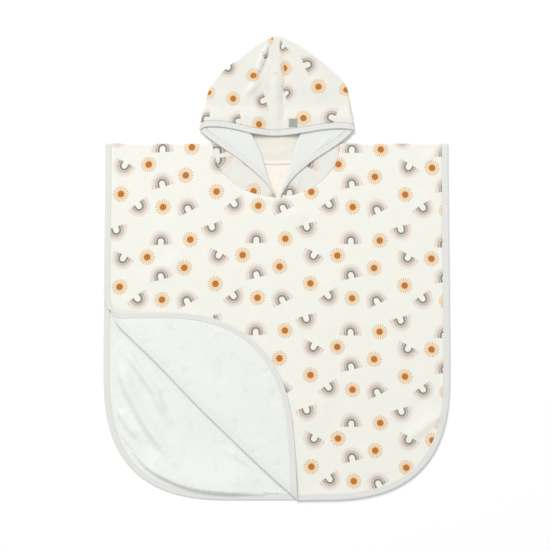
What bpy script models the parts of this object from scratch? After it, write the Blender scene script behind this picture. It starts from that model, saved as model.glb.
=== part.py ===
"""A child's hooded bath poncho, laid flat on its back with one front corner turned up.

It is cut from one towelling: a front, a back and a hood in one piece that is folded at the centre back and
seamed from its tip to the forehead. A narrow binding runs round the front, the back and the face edge, a tape
covers the seam at the back of the neck, and a small blank label sits on the hood.

Units are metres, +Z is up and +Y points to the hood. Inside the script a plan point is (x, y) with x from the
centre line and y from the shoulder line. world() moves it so that the origin is under the middle of the part.
"""

import math

import bmesh
import bpy
from mathutils import Vector

# Cloth
CLOTH = 0.0020
BINDING_THICK = 0.0026
BINDING_WIDE = 0.0090
BINDING_LIFT = BINDING_THICK / 2 - CLOTH / 2
FACE_BINDING_THICK = 0.0024
TAPE_THICK = 0.0006
TAPE_WIDE = 0.0070
SEAM_GAP = 0.0003

# Height of the middle of each layer, from the floor up
BACK_LEVEL = 0.0010
FRONT_LEVEL = 0.0043
TURNED_LEVEL = 0.0073
CROWN_LEVEL = 0.0103
CROWN_SAG_LEVEL = 0.0056
SAG_HALF = 0.0080
SAG_SLOPE = 0.0320
OVER_TOP = 0.0440
OVER_SLOPE = 0.0260

# Body
SHOULDER_Y = 0.2186
HALF_SHOULDER = 0.2995
HALF_WIDEST = 0.3026
BODY_LENGTH = 0.6226
CORNER_START = 0.3957
CORNER_INNER = 0.0718
CORNER_POWER = 2.7
CORNER_RUN = 1.2
HALF_NECK = 0.1115
FRONT_NECK_DROP = 0.0930
BACK_NECK_DROP = 0.0360

# The front corner that is turned up: its fold line, which runs down to the right
FOLD_POINT = Vector((-0.2748, -0.3194))
FOLD_ANGLE = math.radians(-43.98)
FOLD_RADIUS = 0.0025
FLAP_LIFT = 0.0030
FLAP_SETTLE = 0.060
FLAP_PULL = 0.985
FLAP_DRAW = 0.52
BARE_START = 0.0100
BARE_RISE = 0.0160
EDGE_CALM = 0.0150
FOLD_BOW = 0.0045
BOW_PLACE = 0.275
BOW_LONG = 0.145
BOW_REACH = 0.030
TUCK_POINT = Vector((-0.298, -0.297))
TUCK_REACH = 0.0165
TUCK_MOVE = Vector((0.0078, 0.0070))

# Hood, as plan points: the crown's outline from face corner to tip, on each side
CROWN_LEFT = (
    (-0.1365, 0.0240), (-0.1286, 0.0570), (-0.1155, 0.0990), (-0.0914, 0.1290), (-0.0280, 0.1770), (0.0000, 0.1880),
)
CROWN_RIGHT = (
    (0.1370, 0.0240), (0.1310, 0.0570), (0.1208, 0.1027), (0.0900, 0.1356), (0.0464, 0.1689), (0.0120, 0.1875),
)
FOREHEAD = (
    (-0.1365, 0.0240), (-0.1225, 0.0290), (-0.0960, 0.0289), (-0.0630, 0.0229), (-0.0410, 0.0175),
    (0.0000, 0.0138), (0.0464, 0.0186), (0.0788, 0.0240), (0.1120, 0.0262), (0.1370, 0.0240),
)
# The turned-out face edge, and the roll that it turns on, from the bottom of the V upwards
TURNED_LEFT = (
    (-0.0040, -0.0893), (-0.0217, -0.0646), (-0.0618, -0.0296), (-0.1038, -0.0007), (-0.1365, 0.0240),
)
TURNED_RIGHT = (
    (0.0085, -0.0893), (0.0263, -0.0627), (0.0583, -0.0336), (0.1062, -0.0016), (0.1370, 0.0240),
)
ROLL_LEFT = (
    (-0.0022, -0.0870), (-0.0140, -0.0604), (-0.0217, -0.0347), (-0.0298, -0.0107), (-0.0438, 0.0173),
    (-0.0520, 0.0380),
)
ROLL_RIGHT = (
    (0.0068, -0.0870), (0.0203, -0.0506), (0.0252, -0.0347), (0.0303, -0.0107), (0.0400, 0.0144),
    (0.0500, 0.0380),
)
SLIT_TOP = 0.0215
TURNED_NARROW = 0.0025
CORNER_CLEAR = 0.0062
TAPE_RISE = 0.0030
TAPE_END = 0.07
LABEL_SIZE = (0.0150, 0.0170)
LABEL_CORNER = (0.0201, 0.0290)
LABEL_THICK = 0.0008

# Rows and columns of the grids
SHOULDER_BENDS = (0.0, 0.45, 0.90)
CURVE_STEPS = 24
OUTLINE_STEPS = 600
BODY_COLUMNS = 72
BODY_RINGS = 8
BARE_CUT = 0.0120
BARE_ALONG = 12
BARE_ACROSS = (-3, 25)
TURN_STEPS = 4
FOLD_STEPS = 8
CROWN_COLUMNS = 22
CROWN_ROWS = 12
BACK_LOW_ROWS = 4
SIDE_ROWS = 3
SCOOP_ROWS = 12
TURNED_ROWS = SIDE_ROWS + SCOOP_ROWS
BOUND_ROWS = 4
TURNED_COLUMNS = 4
SEAT_COLUMNS = 5
TAPE_STATIONS = 24
BINDING_ROWS = 2
LABEL_GRID = 5

# Soft folds: name, path in plan, height, width. FOLD_END is the share of the height left at their ends
FOLD_END = 0.25
CROWN_FOLDS = (
    ("beside the seam", ((0.001, 0.012), (0.002, 0.070), (0.003, 0.140)), 0.0022, 0.0080),
    ("seam", ((0.013, 0.012), (0.013, 0.120), (0.008, 0.186)), -0.0012, 0.0035),
    ("from the tip", ((-0.004, 0.172), (-0.024, 0.122), (-0.052, 0.072)), 0.0026, 0.0090),
    ("right cheek", ((0.060, 0.120), (0.082, 0.078)), 0.0012, 0.0140),
)
FRONT_FOLDS = (
    ("low right", ((0.288, -0.470), (0.225, -0.520)), 0.0030, 0.0120),
    ("below the corner", ((-0.165, -0.190), (-0.205, -0.235)), 0.0022, 0.0140),
    ("right shoulder", ((0.276, -0.014), (0.262, -0.030)), 0.0018, 0.0060),
    ("below the neck", ((0.024, -0.112), (0.050, -0.138)), 0.0020, 0.0120),
    ("low middle", ((0.150, -0.520), (0.175, -0.590)), 0.0020, 0.0160),
)
BACK_FOLDS = (
    ("beside the fold", ((-0.262, -0.346), (-0.221, -0.399), (-0.183, -0.452)), 0.0022, 0.0075),
    ("between", ((-0.282, -0.345), (-0.253, -0.411), (-0.207, -0.483)), 0.0040, 0.0080),
    ("along the side", ((-0.289, -0.405), (-0.272, -0.460), (-0.228, -0.525)), 0.0026, 0.0070),
    ("over the hem", ((-0.236, -0.548), (-0.186, -0.580), (-0.120, -0.600), (-0.030, -0.606)), 0.0042, 0.0085),
)


def world(x, y, z):
    return Vector((x, y + SHOULDER_Y, z))


def smoothstep(value):
    value = min(1.0, max(0.0, value))
    return value * value * (3 - 2 * value)


def spaced(points, count):
    """count + 1 evenly spaced points of a smooth curve that passes through the points."""
    points = [Vector(p) for p in points]
    ends = [2 * points[0] - points[1], *points, 2 * points[-1] - points[-2]]
    fine = []
    for before, start, end, after in zip(ends, ends[1:], ends[2:], ends[3:]):
        for step in range(CURVE_STEPS):
            t = step / CURVE_STEPS
            fine.append(
                0.5 * (2 * start + (end - before) * t + (2 * before - 5 * start + 4 * end - after) * t**2
                       + (3 * start - before - 3 * end + after) * t**3)
            )
    fine.append(points[-1])
    lengths = [0.0]
    for a, b in zip(fine, fine[1:]):
        lengths.append(lengths[-1] + (b - a).length)
    found, k = [], 0
    for n in range(count + 1):
        want = lengths[-1] * n / count
        while k < len(fine) - 2 and lengths[k + 1] < want:
            k += 1
        share = (want - lengths[k]) / (lengths[k + 1] - lengths[k])
        found.append(fine[k].lerp(fine[k + 1], share))
    return found


def moved_left(path, distance):
    """The path moved to the left of the way it runs, by one distance or by one for each point."""
    distances = distance if hasattr(distance, "__len__") else [distance] * len(path)
    found = []
    for k, point in enumerate(path):
        way = (path[min(k + 1, len(path) - 1)] - path[max(k - 1, 0)]).normalized()
        found.append(point + Vector((-way.y, way.x)) * distances[k])
    return found


def folds_at(folds, x, y):
    """Height that the soft folds add at a plan point: a ridge along each path, fading at its ends."""
    total, here = 0.0, Vector((x, y))
    for _name, path, height, width in folds:
        nearest, place, parts = 1.0, 0.0, len(path) - 1
        for k in range(parts):
            start, way = Vector(path[k]), Vector(path[k + 1]) - Vector(path[k])
            t = min(1.0, max(0.0, (here - start).dot(way) / way.length_squared))
            distance = (here - start - way * t).length
            if distance < nearest:
                nearest, place = distance, (k + t) / parts
        fade = smoothstep(4 * place) * smoothstep(4 * (1 - place))
        total += height * (FOLD_END + (1 - FOLD_END) * fade) * math.exp(-((nearest / width) ** 2))
    return total


def outline(share):
    """Plan point and outward direction of the body's outline, from the left shoulder (0) round the hem (1)."""
    side = -1 if share < 0.5 else 1
    drop = min(share, 1 - share) * 2
    depth = BODY_LENGTH - CORNER_START
    straight, corner, flat = CORNER_START, CORNER_RUN * depth, CORNER_INNER
    run = drop * (straight + corner + flat)
    if run <= straight:
        flare = (HALF_WIDEST - HALF_SHOULDER) * smoothstep(run / straight)
        return Vector((side * (HALF_SHOULDER + flare), -run)), Vector((side, 0))
    if run <= straight + corner:
        angle = (run - straight) / corner * math.pi / 2
        wide, high = HALF_WIDEST - CORNER_INNER, depth
        across, down = math.cos(angle) ** (2 / CORNER_POWER), math.sin(angle) ** (2 / CORNER_POWER)
        way = Vector((side * across ** (CORNER_POWER - 1) / wide, -(down ** (CORNER_POWER - 1)) / high))
        spot = Vector((side * (CORNER_INNER + wide * across), -CORNER_START - high * down))
        return spot, way.normalized()
    left_over = straight + corner + flat - run
    return Vector((side * left_over, -BODY_LENGTH)), Vector((0, -1))


def outline_points(count, inset):
    """Evenly spaced points of the outline, moved in."""
    fine = [outline(n / OUTLINE_STEPS)[0] for n in range(OUTLINE_STEPS + 1)]
    ways = [outline(n / OUTLINE_STEPS)[1] for n in range(OUTLINE_STEPS + 1)]
    lengths = [0.0]
    for a, b in zip(fine, fine[1:]):
        lengths.append(lengths[-1] + (b - a).length)
    found, k = [], 0
    for n in range(count + 1):
        want = lengths[-1] * n / count
        while k < OUTLINE_STEPS - 1 and lengths[k + 1] < want:
            k += 1
        share = (want - lengths[k]) / max(lengths[k + 1] - lengths[k], 1e-9)
        way = ways[k].lerp(ways[k + 1], share).normalized()
        found.append(fine[k].lerp(fine[k + 1], share) - way * inset)
    return found


def neckline(share, drop):
    """Plan point of a neckline, from its left end (0) to its right (1)."""
    angle = math.pi * (1 + share)
    return Vector((HALF_NECK * math.cos(angle), drop * math.sin(angle)))


def front_height(x, y):
    inside = smoothstep(-y / EDGE_CALM)
    return FRONT_LEVEL + folds_at(FRONT_FOLDS, x, y) * inside


def back_height(x, y):
    """The back lies flat under the front, and rises in folds where the turned-up corner bares it."""
    bare = smoothstep((depth_past_fold(Vector((x, y))) - BARE_START) / BARE_RISE)
    edge = smoothstep((HALF_WIDEST - BINDING_WIDE - abs(x)) / EDGE_CALM)
    return BACK_LEVEL + folds_at(BACK_FOLDS, x, y) * bare * edge


def shoulder_turn(distance):
    """How far a strip past the shoulder's flat part has gone over, as (forward, round) shares of its radius."""
    angle = min(max(distance, 0.0) / SHOULDER_RADIUS, math.pi / 2)
    return math.sin(angle), 1 - math.cos(angle)


SHOULDER_RADIUS = (FRONT_LEVEL - BACK_LEVEL) / 2
SHOULDER_FLAT = -SHOULDER_RADIUS
SHOULDER_CUT = SHOULDER_FLAT + SHOULDER_RADIUS * math.pi / 2 - 1.5 * SEAM_GAP
FOLD_WAY = Vector((math.cos(FOLD_ANGLE), math.sin(FOLD_ANGLE)))
FOLD_OUT = Vector((math.sin(FOLD_ANGLE), -math.cos(FOLD_ANGLE)))
FOLD_START = FOLD_POINT - FOLD_OUT * FOLD_RADIUS


def over_the_shoulder(flat, level, bend):
    """A flat point in place, with its shoulder edge rolled down (bend -1) or up (bend 1)."""
    past = flat.y - SHOULDER_FLAT
    if past <= 0:
        return world(flat.x, flat.y, level(flat.x, flat.y))
    forward, round_it = shoulder_turn(past)
    z = level(flat.x, SHOULDER_FLAT) + bend * SHOULDER_RADIUS * round_it
    return world(flat.x, SHOULDER_FLAT + SHOULDER_RADIUS * forward, z)


def place_back(flat):
    return over_the_shoulder(flat, back_height, 1)


def fold_bow(spot):
    """How far the fold of the turned-up corner bows out at a plan point, with the cloth beside it."""
    off = spot - FOLD_POINT
    along, across = (off.dot(FOLD_WAY) - BOW_PLACE) / BOW_LONG, off.dot(FOLD_OUT) / BOW_REACH
    return FOLD_OUT * FOLD_BOW * math.exp(-(along**4) - across**2)


def place_front(flat):
    """A point of the front's cut in place: its corner is turned up over the fold line."""
    past = (flat - FOLD_START).dot(FOLD_OUT)
    if past <= 0:
        spot, rise = flat.copy(), 0.0
    else:
        angle = min(past / FOLD_RADIUS, math.pi)
        beyond = max(past - FOLD_RADIUS * math.pi, 0.0)
        beyond = FLAP_PULL * beyond - FLAP_DRAW * beyond**2
        reach = FOLD_RADIUS * math.sin(angle) - beyond
        spot = flat + FOLD_OUT * (reach - past)
        settle = smoothstep(beyond / FLAP_SETTLE)
        rise = FOLD_RADIUS * (1 - math.cos(angle)) * (1 - settle) + FLAP_LIFT * settle
    spot += fold_bow(spot)
    spot += TUCK_MOVE * math.exp(-(((spot - TUCK_POINT).length / TUCK_REACH) ** 2))
    placed = over_the_shoulder(spot, front_height, -1)
    placed.z += rise
    return placed


def grid(bm, columns, rows, place):
    """A grid of faces whose point (column, row) is at place(column, row)."""
    made = bmesh.ops.create_grid(bm, x_segments=columns, y_segments=rows, size=1)
    for vertex in made["verts"]:
        column = round((vertex.co.x + 1) / 2 * columns)
        row = round((vertex.co.y + 1) / 2 * rows)
        vertex.co = place(column, row)
    return made["verts"]


def patch(bottom, top, left, right):
    """Fills between four plan curves. Gives a function from (column, row) to the plan point."""
    columns, rows = len(bottom) - 1, len(left) - 1

    def at(column, row):
        s, t = column / columns, row / rows
        sides = left[row].lerp(right[row], s)
        ends = bottom[column].lerp(top[column], t)
        low, high = bottom[0].lerp(bottom[-1], s), top[0].lerp(top[-1], s)
        return sides + ends - low.lerp(high, t)

    return at


def finished(name, bm, thickness, material):
    """Welds the sheet, gives it its wall and puts it in the scene."""
    bmesh.ops.remove_doubles(bm, verts=bm.verts, dist=1e-6)
    bmesh.ops.recalc_face_normals(bm, faces=bm.faces)
    mesh = bpy.data.meshes.new(name)
    bm.to_mesh(mesh)
    bm.free()
    mesh.materials.append(material)
    mesh.shade_smooth()
    made = bpy.data.objects.new(name, mesh)
    poncho.objects.link(made)
    wall = made.modifiers.new("wall", "SOLIDIFY")
    wall.thickness = thickness
    wall.offset = 0
    wall.use_quality_normals = True
    return made


def cut_lines(bm, lines, within=lambda spot: True):
    """Splits the flat sheet along straight lines, each a point and its normal, where its faces are within."""
    for point, normal in lines:
        faces = [face for face in bm.faces if within(face.calc_center_median().to_2d())]
        edges = {edge for face in faces for edge in face.edges}
        corners = {vertex for face in faces for vertex in face.verts}
        geometry = [*corners, *edges, *faces]
        bmesh.ops.bisect_plane(bm, geom=geometry, dist=1e-6, plane_co=point.to_3d(), plane_no=normal.to_3d())


def depth_past_fold(spot):
    """How far a plan point lies outside the fold of the turned-up corner."""
    return (spot - FOLD_POINT).dot(FOLD_OUT)


def bare_lines():
    """Two sets of lines that cross where the turned-up corner bares the back, so that its folds can bend there."""
    along = [(FOLD_POINT + FOLD_OUT * BARE_CUT * n, FOLD_OUT) for n in range(BARE_ALONG)]
    across = [(FOLD_POINT + FOLD_WAY * BARE_CUT * n, FOLD_WAY) for n in range(*BARE_ACROSS)]
    return along + across


def shoulder_lines():
    """Lines across the sheet where its shoulder edge bends, the last one close to its end to square it."""
    run = SHOULDER_CUT - SHOULDER_FLAT
    return [(Vector((0, SHOULDER_FLAT + run * share)), Vector((0, 1))) for share in SHOULDER_BENDS]


def fold_lines():
    run = FOLD_RADIUS * math.pi
    return [(FOLD_START + FOLD_OUT * run * n / FOLD_STEPS, FOLD_OUT) for n in range(FOLD_STEPS + 1)]


def body_sheet(name, drop, lines, place, material):
    """The front or the back: rings from the outline to the neckline, in its flat cut, then put in place."""
    bm = bmesh.new()
    outer = outline_points(BODY_COLUMNS, BINDING_WIDE + SEAM_GAP)
    outer[0].y = outer[-1].y = SHOULDER_CUT

    def at(column, ring):
        inner = neckline(column / BODY_COLUMNS, drop)
        if column in (0, BODY_COLUMNS):
            inner.y = SHOULDER_CUT
        spot = outer[column].lerp(inner, ring / BODY_RINGS)
        return spot.to_3d()

    grid(bm, BODY_COLUMNS, BODY_RINGS, at)
    cut_lines(bm, lines)
    if place is place_back:
        cut_lines(bm, bare_lines(), lambda spot: depth_past_fold(spot) > 0)
    bmesh.ops.triangulate(bm, faces=[f for f in bm.faces if len(f.verts) > 4])
    for vertex in bm.verts:
        vertex.co = place(vertex.co.to_2d())
    return finished(name, bm, CLOTH, material)


def body_binding(name, lines, place, lift, material):
    """The binding of the front or the back, a strip along its outline."""
    bm = bmesh.new()
    insets = [BINDING_WIDE * (1 - row / BINDING_ROWS) for row in range(BINDING_ROWS + 1)]
    edges = [outline_points(BODY_COLUMNS, inset) for inset in insets]
    for edge in edges:
        edge[0].y = edge[-1].y = SHOULDER_CUT
    grid(bm, BODY_COLUMNS, BINDING_ROWS, lambda station, row: edges[row][station].to_3d())
    cut_lines(bm, lines)
    bmesh.ops.triangulate(bm, faces=[f for f in bm.faces if len(f.verts) > 4])
    for vertex in bm.verts:
        vertex.co = place(vertex.co.to_2d()) + Vector((0, 0, lift))
    return finished(name, bm, BINDING_THICK, material)


def turned_width(share):
    """Width of the binding up the turned-out edge: it narrows to the centre front, where it is all that turns."""
    return TURNED_NARROW + (BINDING_WIDE - TURNED_NARROW) * min(share * TURNED_ROWS / BOUND_ROWS, 1.0)


def crown_height(x, y):
    """Middle of the hood's top layer: high over the turned-out edges, low between them and towards the tip."""
    beside = smoothstep((abs(x) - SAG_HALF) / SAG_SLOPE)
    below = 1 - smoothstep((y - OVER_TOP) / OVER_SLOPE)
    rise = (CROWN_LEVEL - CROWN_SAG_LEVEL) * beside * below
    return CROWN_SAG_LEVEL + rise + folds_at(CROWN_FOLDS, x, y)


def turn(bm, rows, low, high, outward):
    """A half-round turn between two layers, along a row of plan points with the low and high levels of each."""

    def at(row, step):
        angle = math.pi * step / TURN_STEPS
        radius = (high[row] - low[row]) / 2
        spot = rows[row] + outward[row] * radius * math.sin(angle)
        return world(spot.x, spot.y, low[row] + radius * (1 - math.cos(angle)))

    grid(bm, len(rows) - 1, TURN_STEPS, at)
    return lambda row: [at(row, step) for step in range(TURN_STEPS + 1)]


def outward_of(path, side):
    """Directions across a path that runs up, away from the middle: side is -1 for the left, 1 for the right."""
    return [(a - b) * -side for a, b in zip(moved_left(path, 1.0), path)]


def crown_side(points, side):
    """The edge of the hood's layers, from the top of the face binding to the tip, with its turn's radius inside."""
    start, after = Vector(points[0]), Vector(points[1])
    start = start.lerp(after, (BINDING_WIDE + SEAM_GAP + CORNER_CLEAR) / (after - start).length)
    edge = spaced([start, *points[1:]], CROWN_ROWS)
    inset = [(crown_height(p.x, p.y) - BACK_LEVEL + CLOTH) / 2 for p in edge]
    return moved_left(edge, [side * distance for distance in inset])


def side_line(side):
    """The edge of the hood beside the neck, from the shoulder up to the slit under the corner of the face."""
    corner = (CROWN_LEFT if side < 0 else CROWN_RIGHT)[0]
    inset = SHOULDER_RADIUS + CLOTH / 2
    low = Vector((side * (HALF_NECK - SEAM_GAP), CLOTH / 2 + 2 * SEAM_GAP))
    high = Vector((corner[0] - side * inset, SLIT_TOP))
    return [low.lerp(high, n / SIDE_ROWS) for n in range(SIDE_ROWS + 1)]


def brow_line(inset):
    """The edge of the hood above the forehead, from left to right, moved up by an inset."""
    outer = spaced(FOREHEAD, CROWN_COLUMNS)
    for k, side in ((0, -1), (-1, 1)):
        outer[k].x -= side * corner_inset()
    moved = moved_left(outer, inset)
    for k, points in ((0, CROWN_LEFT), (-1, CROWN_RIGHT)):
        moved[k] = outer[k] + (Vector(points[1]) - Vector(points[0])).normalized() * inset
    return moved


def turned_line(side, gap):
    """The turned-out edge from the centre front to the corner of the face, and its binding's inner side."""
    outer = spaced(TURNED_LEFT if side < 0 else TURNED_RIGHT, TURNED_ROWS)
    outer[-1].x -= side * corner_inset()
    widths = [side * (turned_width(n / TURNED_ROWS) + gap) for n in range(TURNED_ROWS + 1)]
    return outer, moved_left(outer, widths)


def crown(bm, left, right):
    """The top and the bottom of the hood above the face, joined at their sides and at the tip."""
    brow = brow_line(BINDING_WIDE + SEAM_GAP)
    brow[0], brow[-1] = left[0], right[0]
    tip = [left[-1].lerp(right[-1], n / CROWN_COLUMNS) for n in range(CROWN_COLUMNS + 1)]
    plan = patch(brow, tip, left, right)

    def top(column, row):
        spot = plan(column, row)
        return world(spot.x, spot.y, crown_height(spot.x, spot.y))

    grid(bm, CROWN_COLUMNS, CROWN_ROWS, top)
    grid(bm, CROWN_COLUMNS, CROWN_ROWS, lambda column, row: flat_at(plan(column, row), BACK_LEVEL))
    high = [crown_height(p.x, p.y) for p in tip]
    across = turn(bm, tip, [BACK_LEVEL] * len(tip), high, [Vector((0, 1))] * len(tip))
    for path, side, end in ((left, -1, 0), (right, 1, CROWN_COLUMNS)):
        high = [crown_height(p.x, p.y) for p in path]
        beside = turn(bm, path, [BACK_LEVEL] * len(path), high, outward_of(path, side))
        pair = (across(end), beside(CROWN_ROWS))
        grid(bm, 1, TURN_STEPS, lambda column, step, pair=pair: pair[column][step])
    return brow


def hood_back(bm, brow, left, right):
    """The lower part of the hood's back, from the brow's line down to the sides and the seam at the neck."""
    count = CROWN_COLUMNS - 2 * SIDE_ROWS
    seam = moved_left([neckline(n / count, BACK_NECK_DROP) for n in range(count + 1)], SEAM_GAP)
    rim = [*reversed(left), *seam[1:-1], *right]

    def at(column, row):
        return flat_at(rim[column].lerp(brow[column], row / BACK_LOW_ROWS), BACK_LEVEL)

    grid(bm, CROWN_COLUMNS, BACK_LOW_ROWS, at)


def flat_at(spot, level):
    return world(spot.x, spot.y, level)


def hood_front(bm, side, edge):
    """One side of the hood in front of the neck: it runs from the side to the roll and turns out and back."""
    inner = turned_line(side, SEAM_GAP)[1]
    roll = spaced(ROLL_LEFT if side < 0 else ROLL_RIGHT, TURNED_ROWS)
    inset = (TURNED_LEVEL - FRONT_LEVEL + CLOTH) / 2
    roll = [spot + way * inset for spot, way in zip(roll, outward_of(roll, side))]
    start, end = (1 + side) / 2, math.acos(-roll[0].x / HALF_NECK) / math.pi
    shares = [end + (start - end) * n / SCOOP_ROWS for n in range(SCOOP_ROWS + 1)]
    seam = moved_left([neckline(share, FRONT_NECK_DROP) for share in shares], side * SEAM_GAP)
    roll[0] = seam[0]
    rim = [*seam[:-1], *edge]

    def seat(column, row):
        return flat_at(rim[row].lerp(roll[row], column / SEAT_COLUMNS), FRONT_LEVEL)

    def turned(column, row):
        row += BOUND_ROWS
        return flat_at(roll[row].lerp(inner[row], column / TURNED_COLUMNS), TURNED_LEVEL)

    grid(bm, SEAT_COLUMNS, TURNED_ROWS, seat)
    grid(bm, TURNED_COLUMNS, TURNED_ROWS - BOUND_ROWS, turned)
    inward = [-way for way in outward_of(roll, side)]
    turn_between(bm, roll[BOUND_ROWS:], FRONT_LEVEL, TURNED_LEVEL, inward[BOUND_ROWS:])
    outward = [Vector((side, 0)), *outward_of(edge, side)[1:]]
    turn_between(bm, edge, BACK_LEVEL, FRONT_LEVEL, outward)


def turn_between(bm, path, low, high, outward):
    turn(bm, path, [low] * len(path), [high] * len(path), outward)


def hood(material):
    bm = bmesh.new()
    brow = crown(bm, crown_side(CROWN_LEFT, -1), crown_side(CROWN_RIGHT, 1))
    left, right = side_line(-1), side_line(1)
    hood_back(bm, brow, left, right)
    hood_front(bm, -1, left)
    hood_front(bm, 1, right)
    return finished("hood", bm, CLOTH, material)


def across_binding(outer, inner, level):
    """Sections of a binding: plan points from its outer to its inner line, at the height level(x, y)."""
    sections = []
    for a, b in zip(outer, inner):
        spots = [a.lerp(b, n / BINDING_ROWS) for n in range(BINDING_ROWS + 1)]
        sections.append([flat_at(spot, level(spot.x, spot.y)) for spot in spots])
    return sections


def corner_inset():
    return (CROWN_LEVEL - TURNED_LEVEL + BINDING_THICK) / 2


def corner_turn(low, high, side):
    """Sections of the binding round a corner of the face, between a turned-out edge and the forehead."""
    found = []
    for step in range(1, TURN_STEPS):
        angle = math.pi * step / TURN_STEPS
        section = []
        for a, b in zip(low, high):
            radius = (b.z - a.z) / 2
            spot = a.lerp(b, step / TURN_STEPS)
            spot.x += side * radius * math.sin(angle)
            spot.z = a.z + radius * (1 - math.cos(angle))
            section.append(spot)
        found.append(section)
    return found


def hood_binding(material):
    """The binding of the face edge: up the left turned-out edge, across the forehead and down the right."""
    left, right = (across_binding(*turned_line(side, 0), lambda x, y: TURNED_LEVEL) for side in (-1, 1))
    brow = across_binding(brow_line(0), brow_line(BINDING_WIDE), crown_height)
    sections = [*left, *corner_turn(left[-1], brow[0], -1), *brow]
    sections += [*reversed(corner_turn(right[-1], brow[-1], 1)), *reversed(right)]
    bm = bmesh.new()
    grid(bm, len(sections) - 1, BINDING_ROWS, lambda station, row: sections[station][row])
    return finished("hood_binding", bm, FACE_BINDING_THICK, material)


def neck_tape(material):
    """The tape that lies over the seam at the back of the neck."""
    shares = [TAPE_END + (1 - 2 * TAPE_END) * n / TAPE_STATIONS for n in range(TAPE_STATIONS + 1)]
    middle = moved_left([neckline(share, BACK_NECK_DROP) for share in shares], TAPE_RISE)
    edges = [moved_left(middle, TAPE_WIDE * (row - 0.5)) for row in range(2)]
    level = BACK_LEVEL + CLOTH / 2 + SEAM_GAP + TAPE_THICK / 2
    bm = bmesh.new()
    grid(bm, TAPE_STATIONS, 1, lambda station, row: flat_at(edges[row][station], level))
    return finished("neck_tape", bm, TAPE_THICK, material)


def label(material):
    """A small blank label that follows the hood's top above the face binding."""
    wide, high = LABEL_SIZE
    lift = CLOTH / 2 + SEAM_GAP + LABEL_THICK / 2

    def at(column, row):
        x = LABEL_CORNER[0] + wide * column / LABEL_GRID
        y = LABEL_CORNER[1] + high * row / LABEL_GRID
        return world(x, y, crown_height(x, y) + lift)

    bm = bmesh.new()
    grid(bm, LABEL_GRID, LABEL_GRID, at)
    return finished("label", bm, LABEL_THICK, material)


def cloth_material(name, colour, roughness):
    made = bpy.data.materials.new(name)
    made.use_nodes = True
    shader = made.node_tree.nodes["Principled BSDF"]
    shader.inputs["Base Color"].default_value = (*colour, 1)
    shader.inputs["Roughness"].default_value = roughness
    shader.inputs["Metallic"].default_value = 0
    return made


for old in list(bpy.data.objects):
    bpy.data.objects.remove(old, do_unlink=True)
poncho = bpy.data.collections.new("hooded bath poncho")
bpy.context.scene.collection.children.link(poncho)

towelling = cloth_material("towelling", (0.91, 0.90, 0.86), 0.95)
binding = cloth_material("binding", (0.89, 0.89, 0.88), 0.85)
label_cloth = cloth_material("label cloth", (0.33, 0.33, 0.32), 0.80)

body_sheet("back_panel", BACK_NECK_DROP, shoulder_lines(), place_back, towelling)
body_sheet("front_panel", FRONT_NECK_DROP, shoulder_lines() + fold_lines(), place_front, towelling)
body_binding("back_binding", shoulder_lines(), place_back, BINDING_LIFT, binding)
body_binding("front_binding", shoulder_lines() + fold_lines(), place_front, BINDING_LIFT, binding)
hood(towelling)
hood_binding(binding)
neck_tape(binding)
label(label_cloth)
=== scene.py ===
"""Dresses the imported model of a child's hooded bath poncho, laid flat with one front corner turned up.

Each sheet of towelling is made again at a finer size than its solid, with its creases, its print and its soft
inside. The bindings are wrapped strips with their rows of stitches. Plan points and heights are as in the part:
metres, x from the centre line and y from the shoulder line, and world() puts them in the part's frame.
"""

import math

import bmesh
import bpy
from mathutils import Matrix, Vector, kdtree, noise

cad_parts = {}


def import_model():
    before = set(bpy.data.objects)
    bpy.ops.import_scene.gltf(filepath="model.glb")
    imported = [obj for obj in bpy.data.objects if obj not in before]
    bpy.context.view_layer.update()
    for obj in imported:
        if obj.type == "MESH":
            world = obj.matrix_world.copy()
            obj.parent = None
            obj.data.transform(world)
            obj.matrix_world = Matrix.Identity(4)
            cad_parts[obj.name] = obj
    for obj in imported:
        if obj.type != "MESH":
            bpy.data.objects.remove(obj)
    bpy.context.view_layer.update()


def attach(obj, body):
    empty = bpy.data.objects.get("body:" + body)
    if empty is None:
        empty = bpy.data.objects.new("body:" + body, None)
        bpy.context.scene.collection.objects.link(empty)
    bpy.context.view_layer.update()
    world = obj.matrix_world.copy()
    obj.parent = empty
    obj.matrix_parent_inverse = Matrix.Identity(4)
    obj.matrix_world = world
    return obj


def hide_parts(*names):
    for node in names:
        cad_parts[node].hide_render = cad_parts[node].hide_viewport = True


bl_info = {
    "name": "Hooded bath poncho",
    "version": (1, 0, 0),
    "blender": (4, 5, 0),
    "location": "3D View > Sidebar > Poncho",
    "description": "Makes the cloth, bindings, print and stage of a hooded bath poncho laid flat",
    "category": "Object",
}

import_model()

MM = 0.001
CUT_MAP = "cut"

# Cloth, and the wrapped strips that bind its edges
WALL = 0.0015
WRAP_WALL = 0.00045
WRAP_HALF = 0.00108
WRAP_WIDE = 0.011
WRAP_GROOVE = 0.0066
BINDING_LIFT = 0.0003
SEAM_GAP = 0.00015
# A wrapped strip's section, from its lip to its edge: inset, and how far it lies below half its height
WRAP_TOP = (
    (WRAP_WIDE, 0.00016), (WRAP_WIDE - 0.0004, 0.00004), (WRAP_WIDE - 0.0016, 0.0), (WRAP_GROOVE + 0.0012, 0.0),
    (WRAP_GROOVE + 0.0005, 0.00006), (WRAP_GROOVE, 0.00018), (WRAP_GROOVE - 0.0005, 0.00006),
    (WRAP_GROOVE - 0.0012, 0.0), (0.0042, 0.0), (0.0026, 0.00002),
)
WRAP_TURN = (80, 60, 40, 20)
WRAP_TURN_LONG = 1.5

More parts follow.
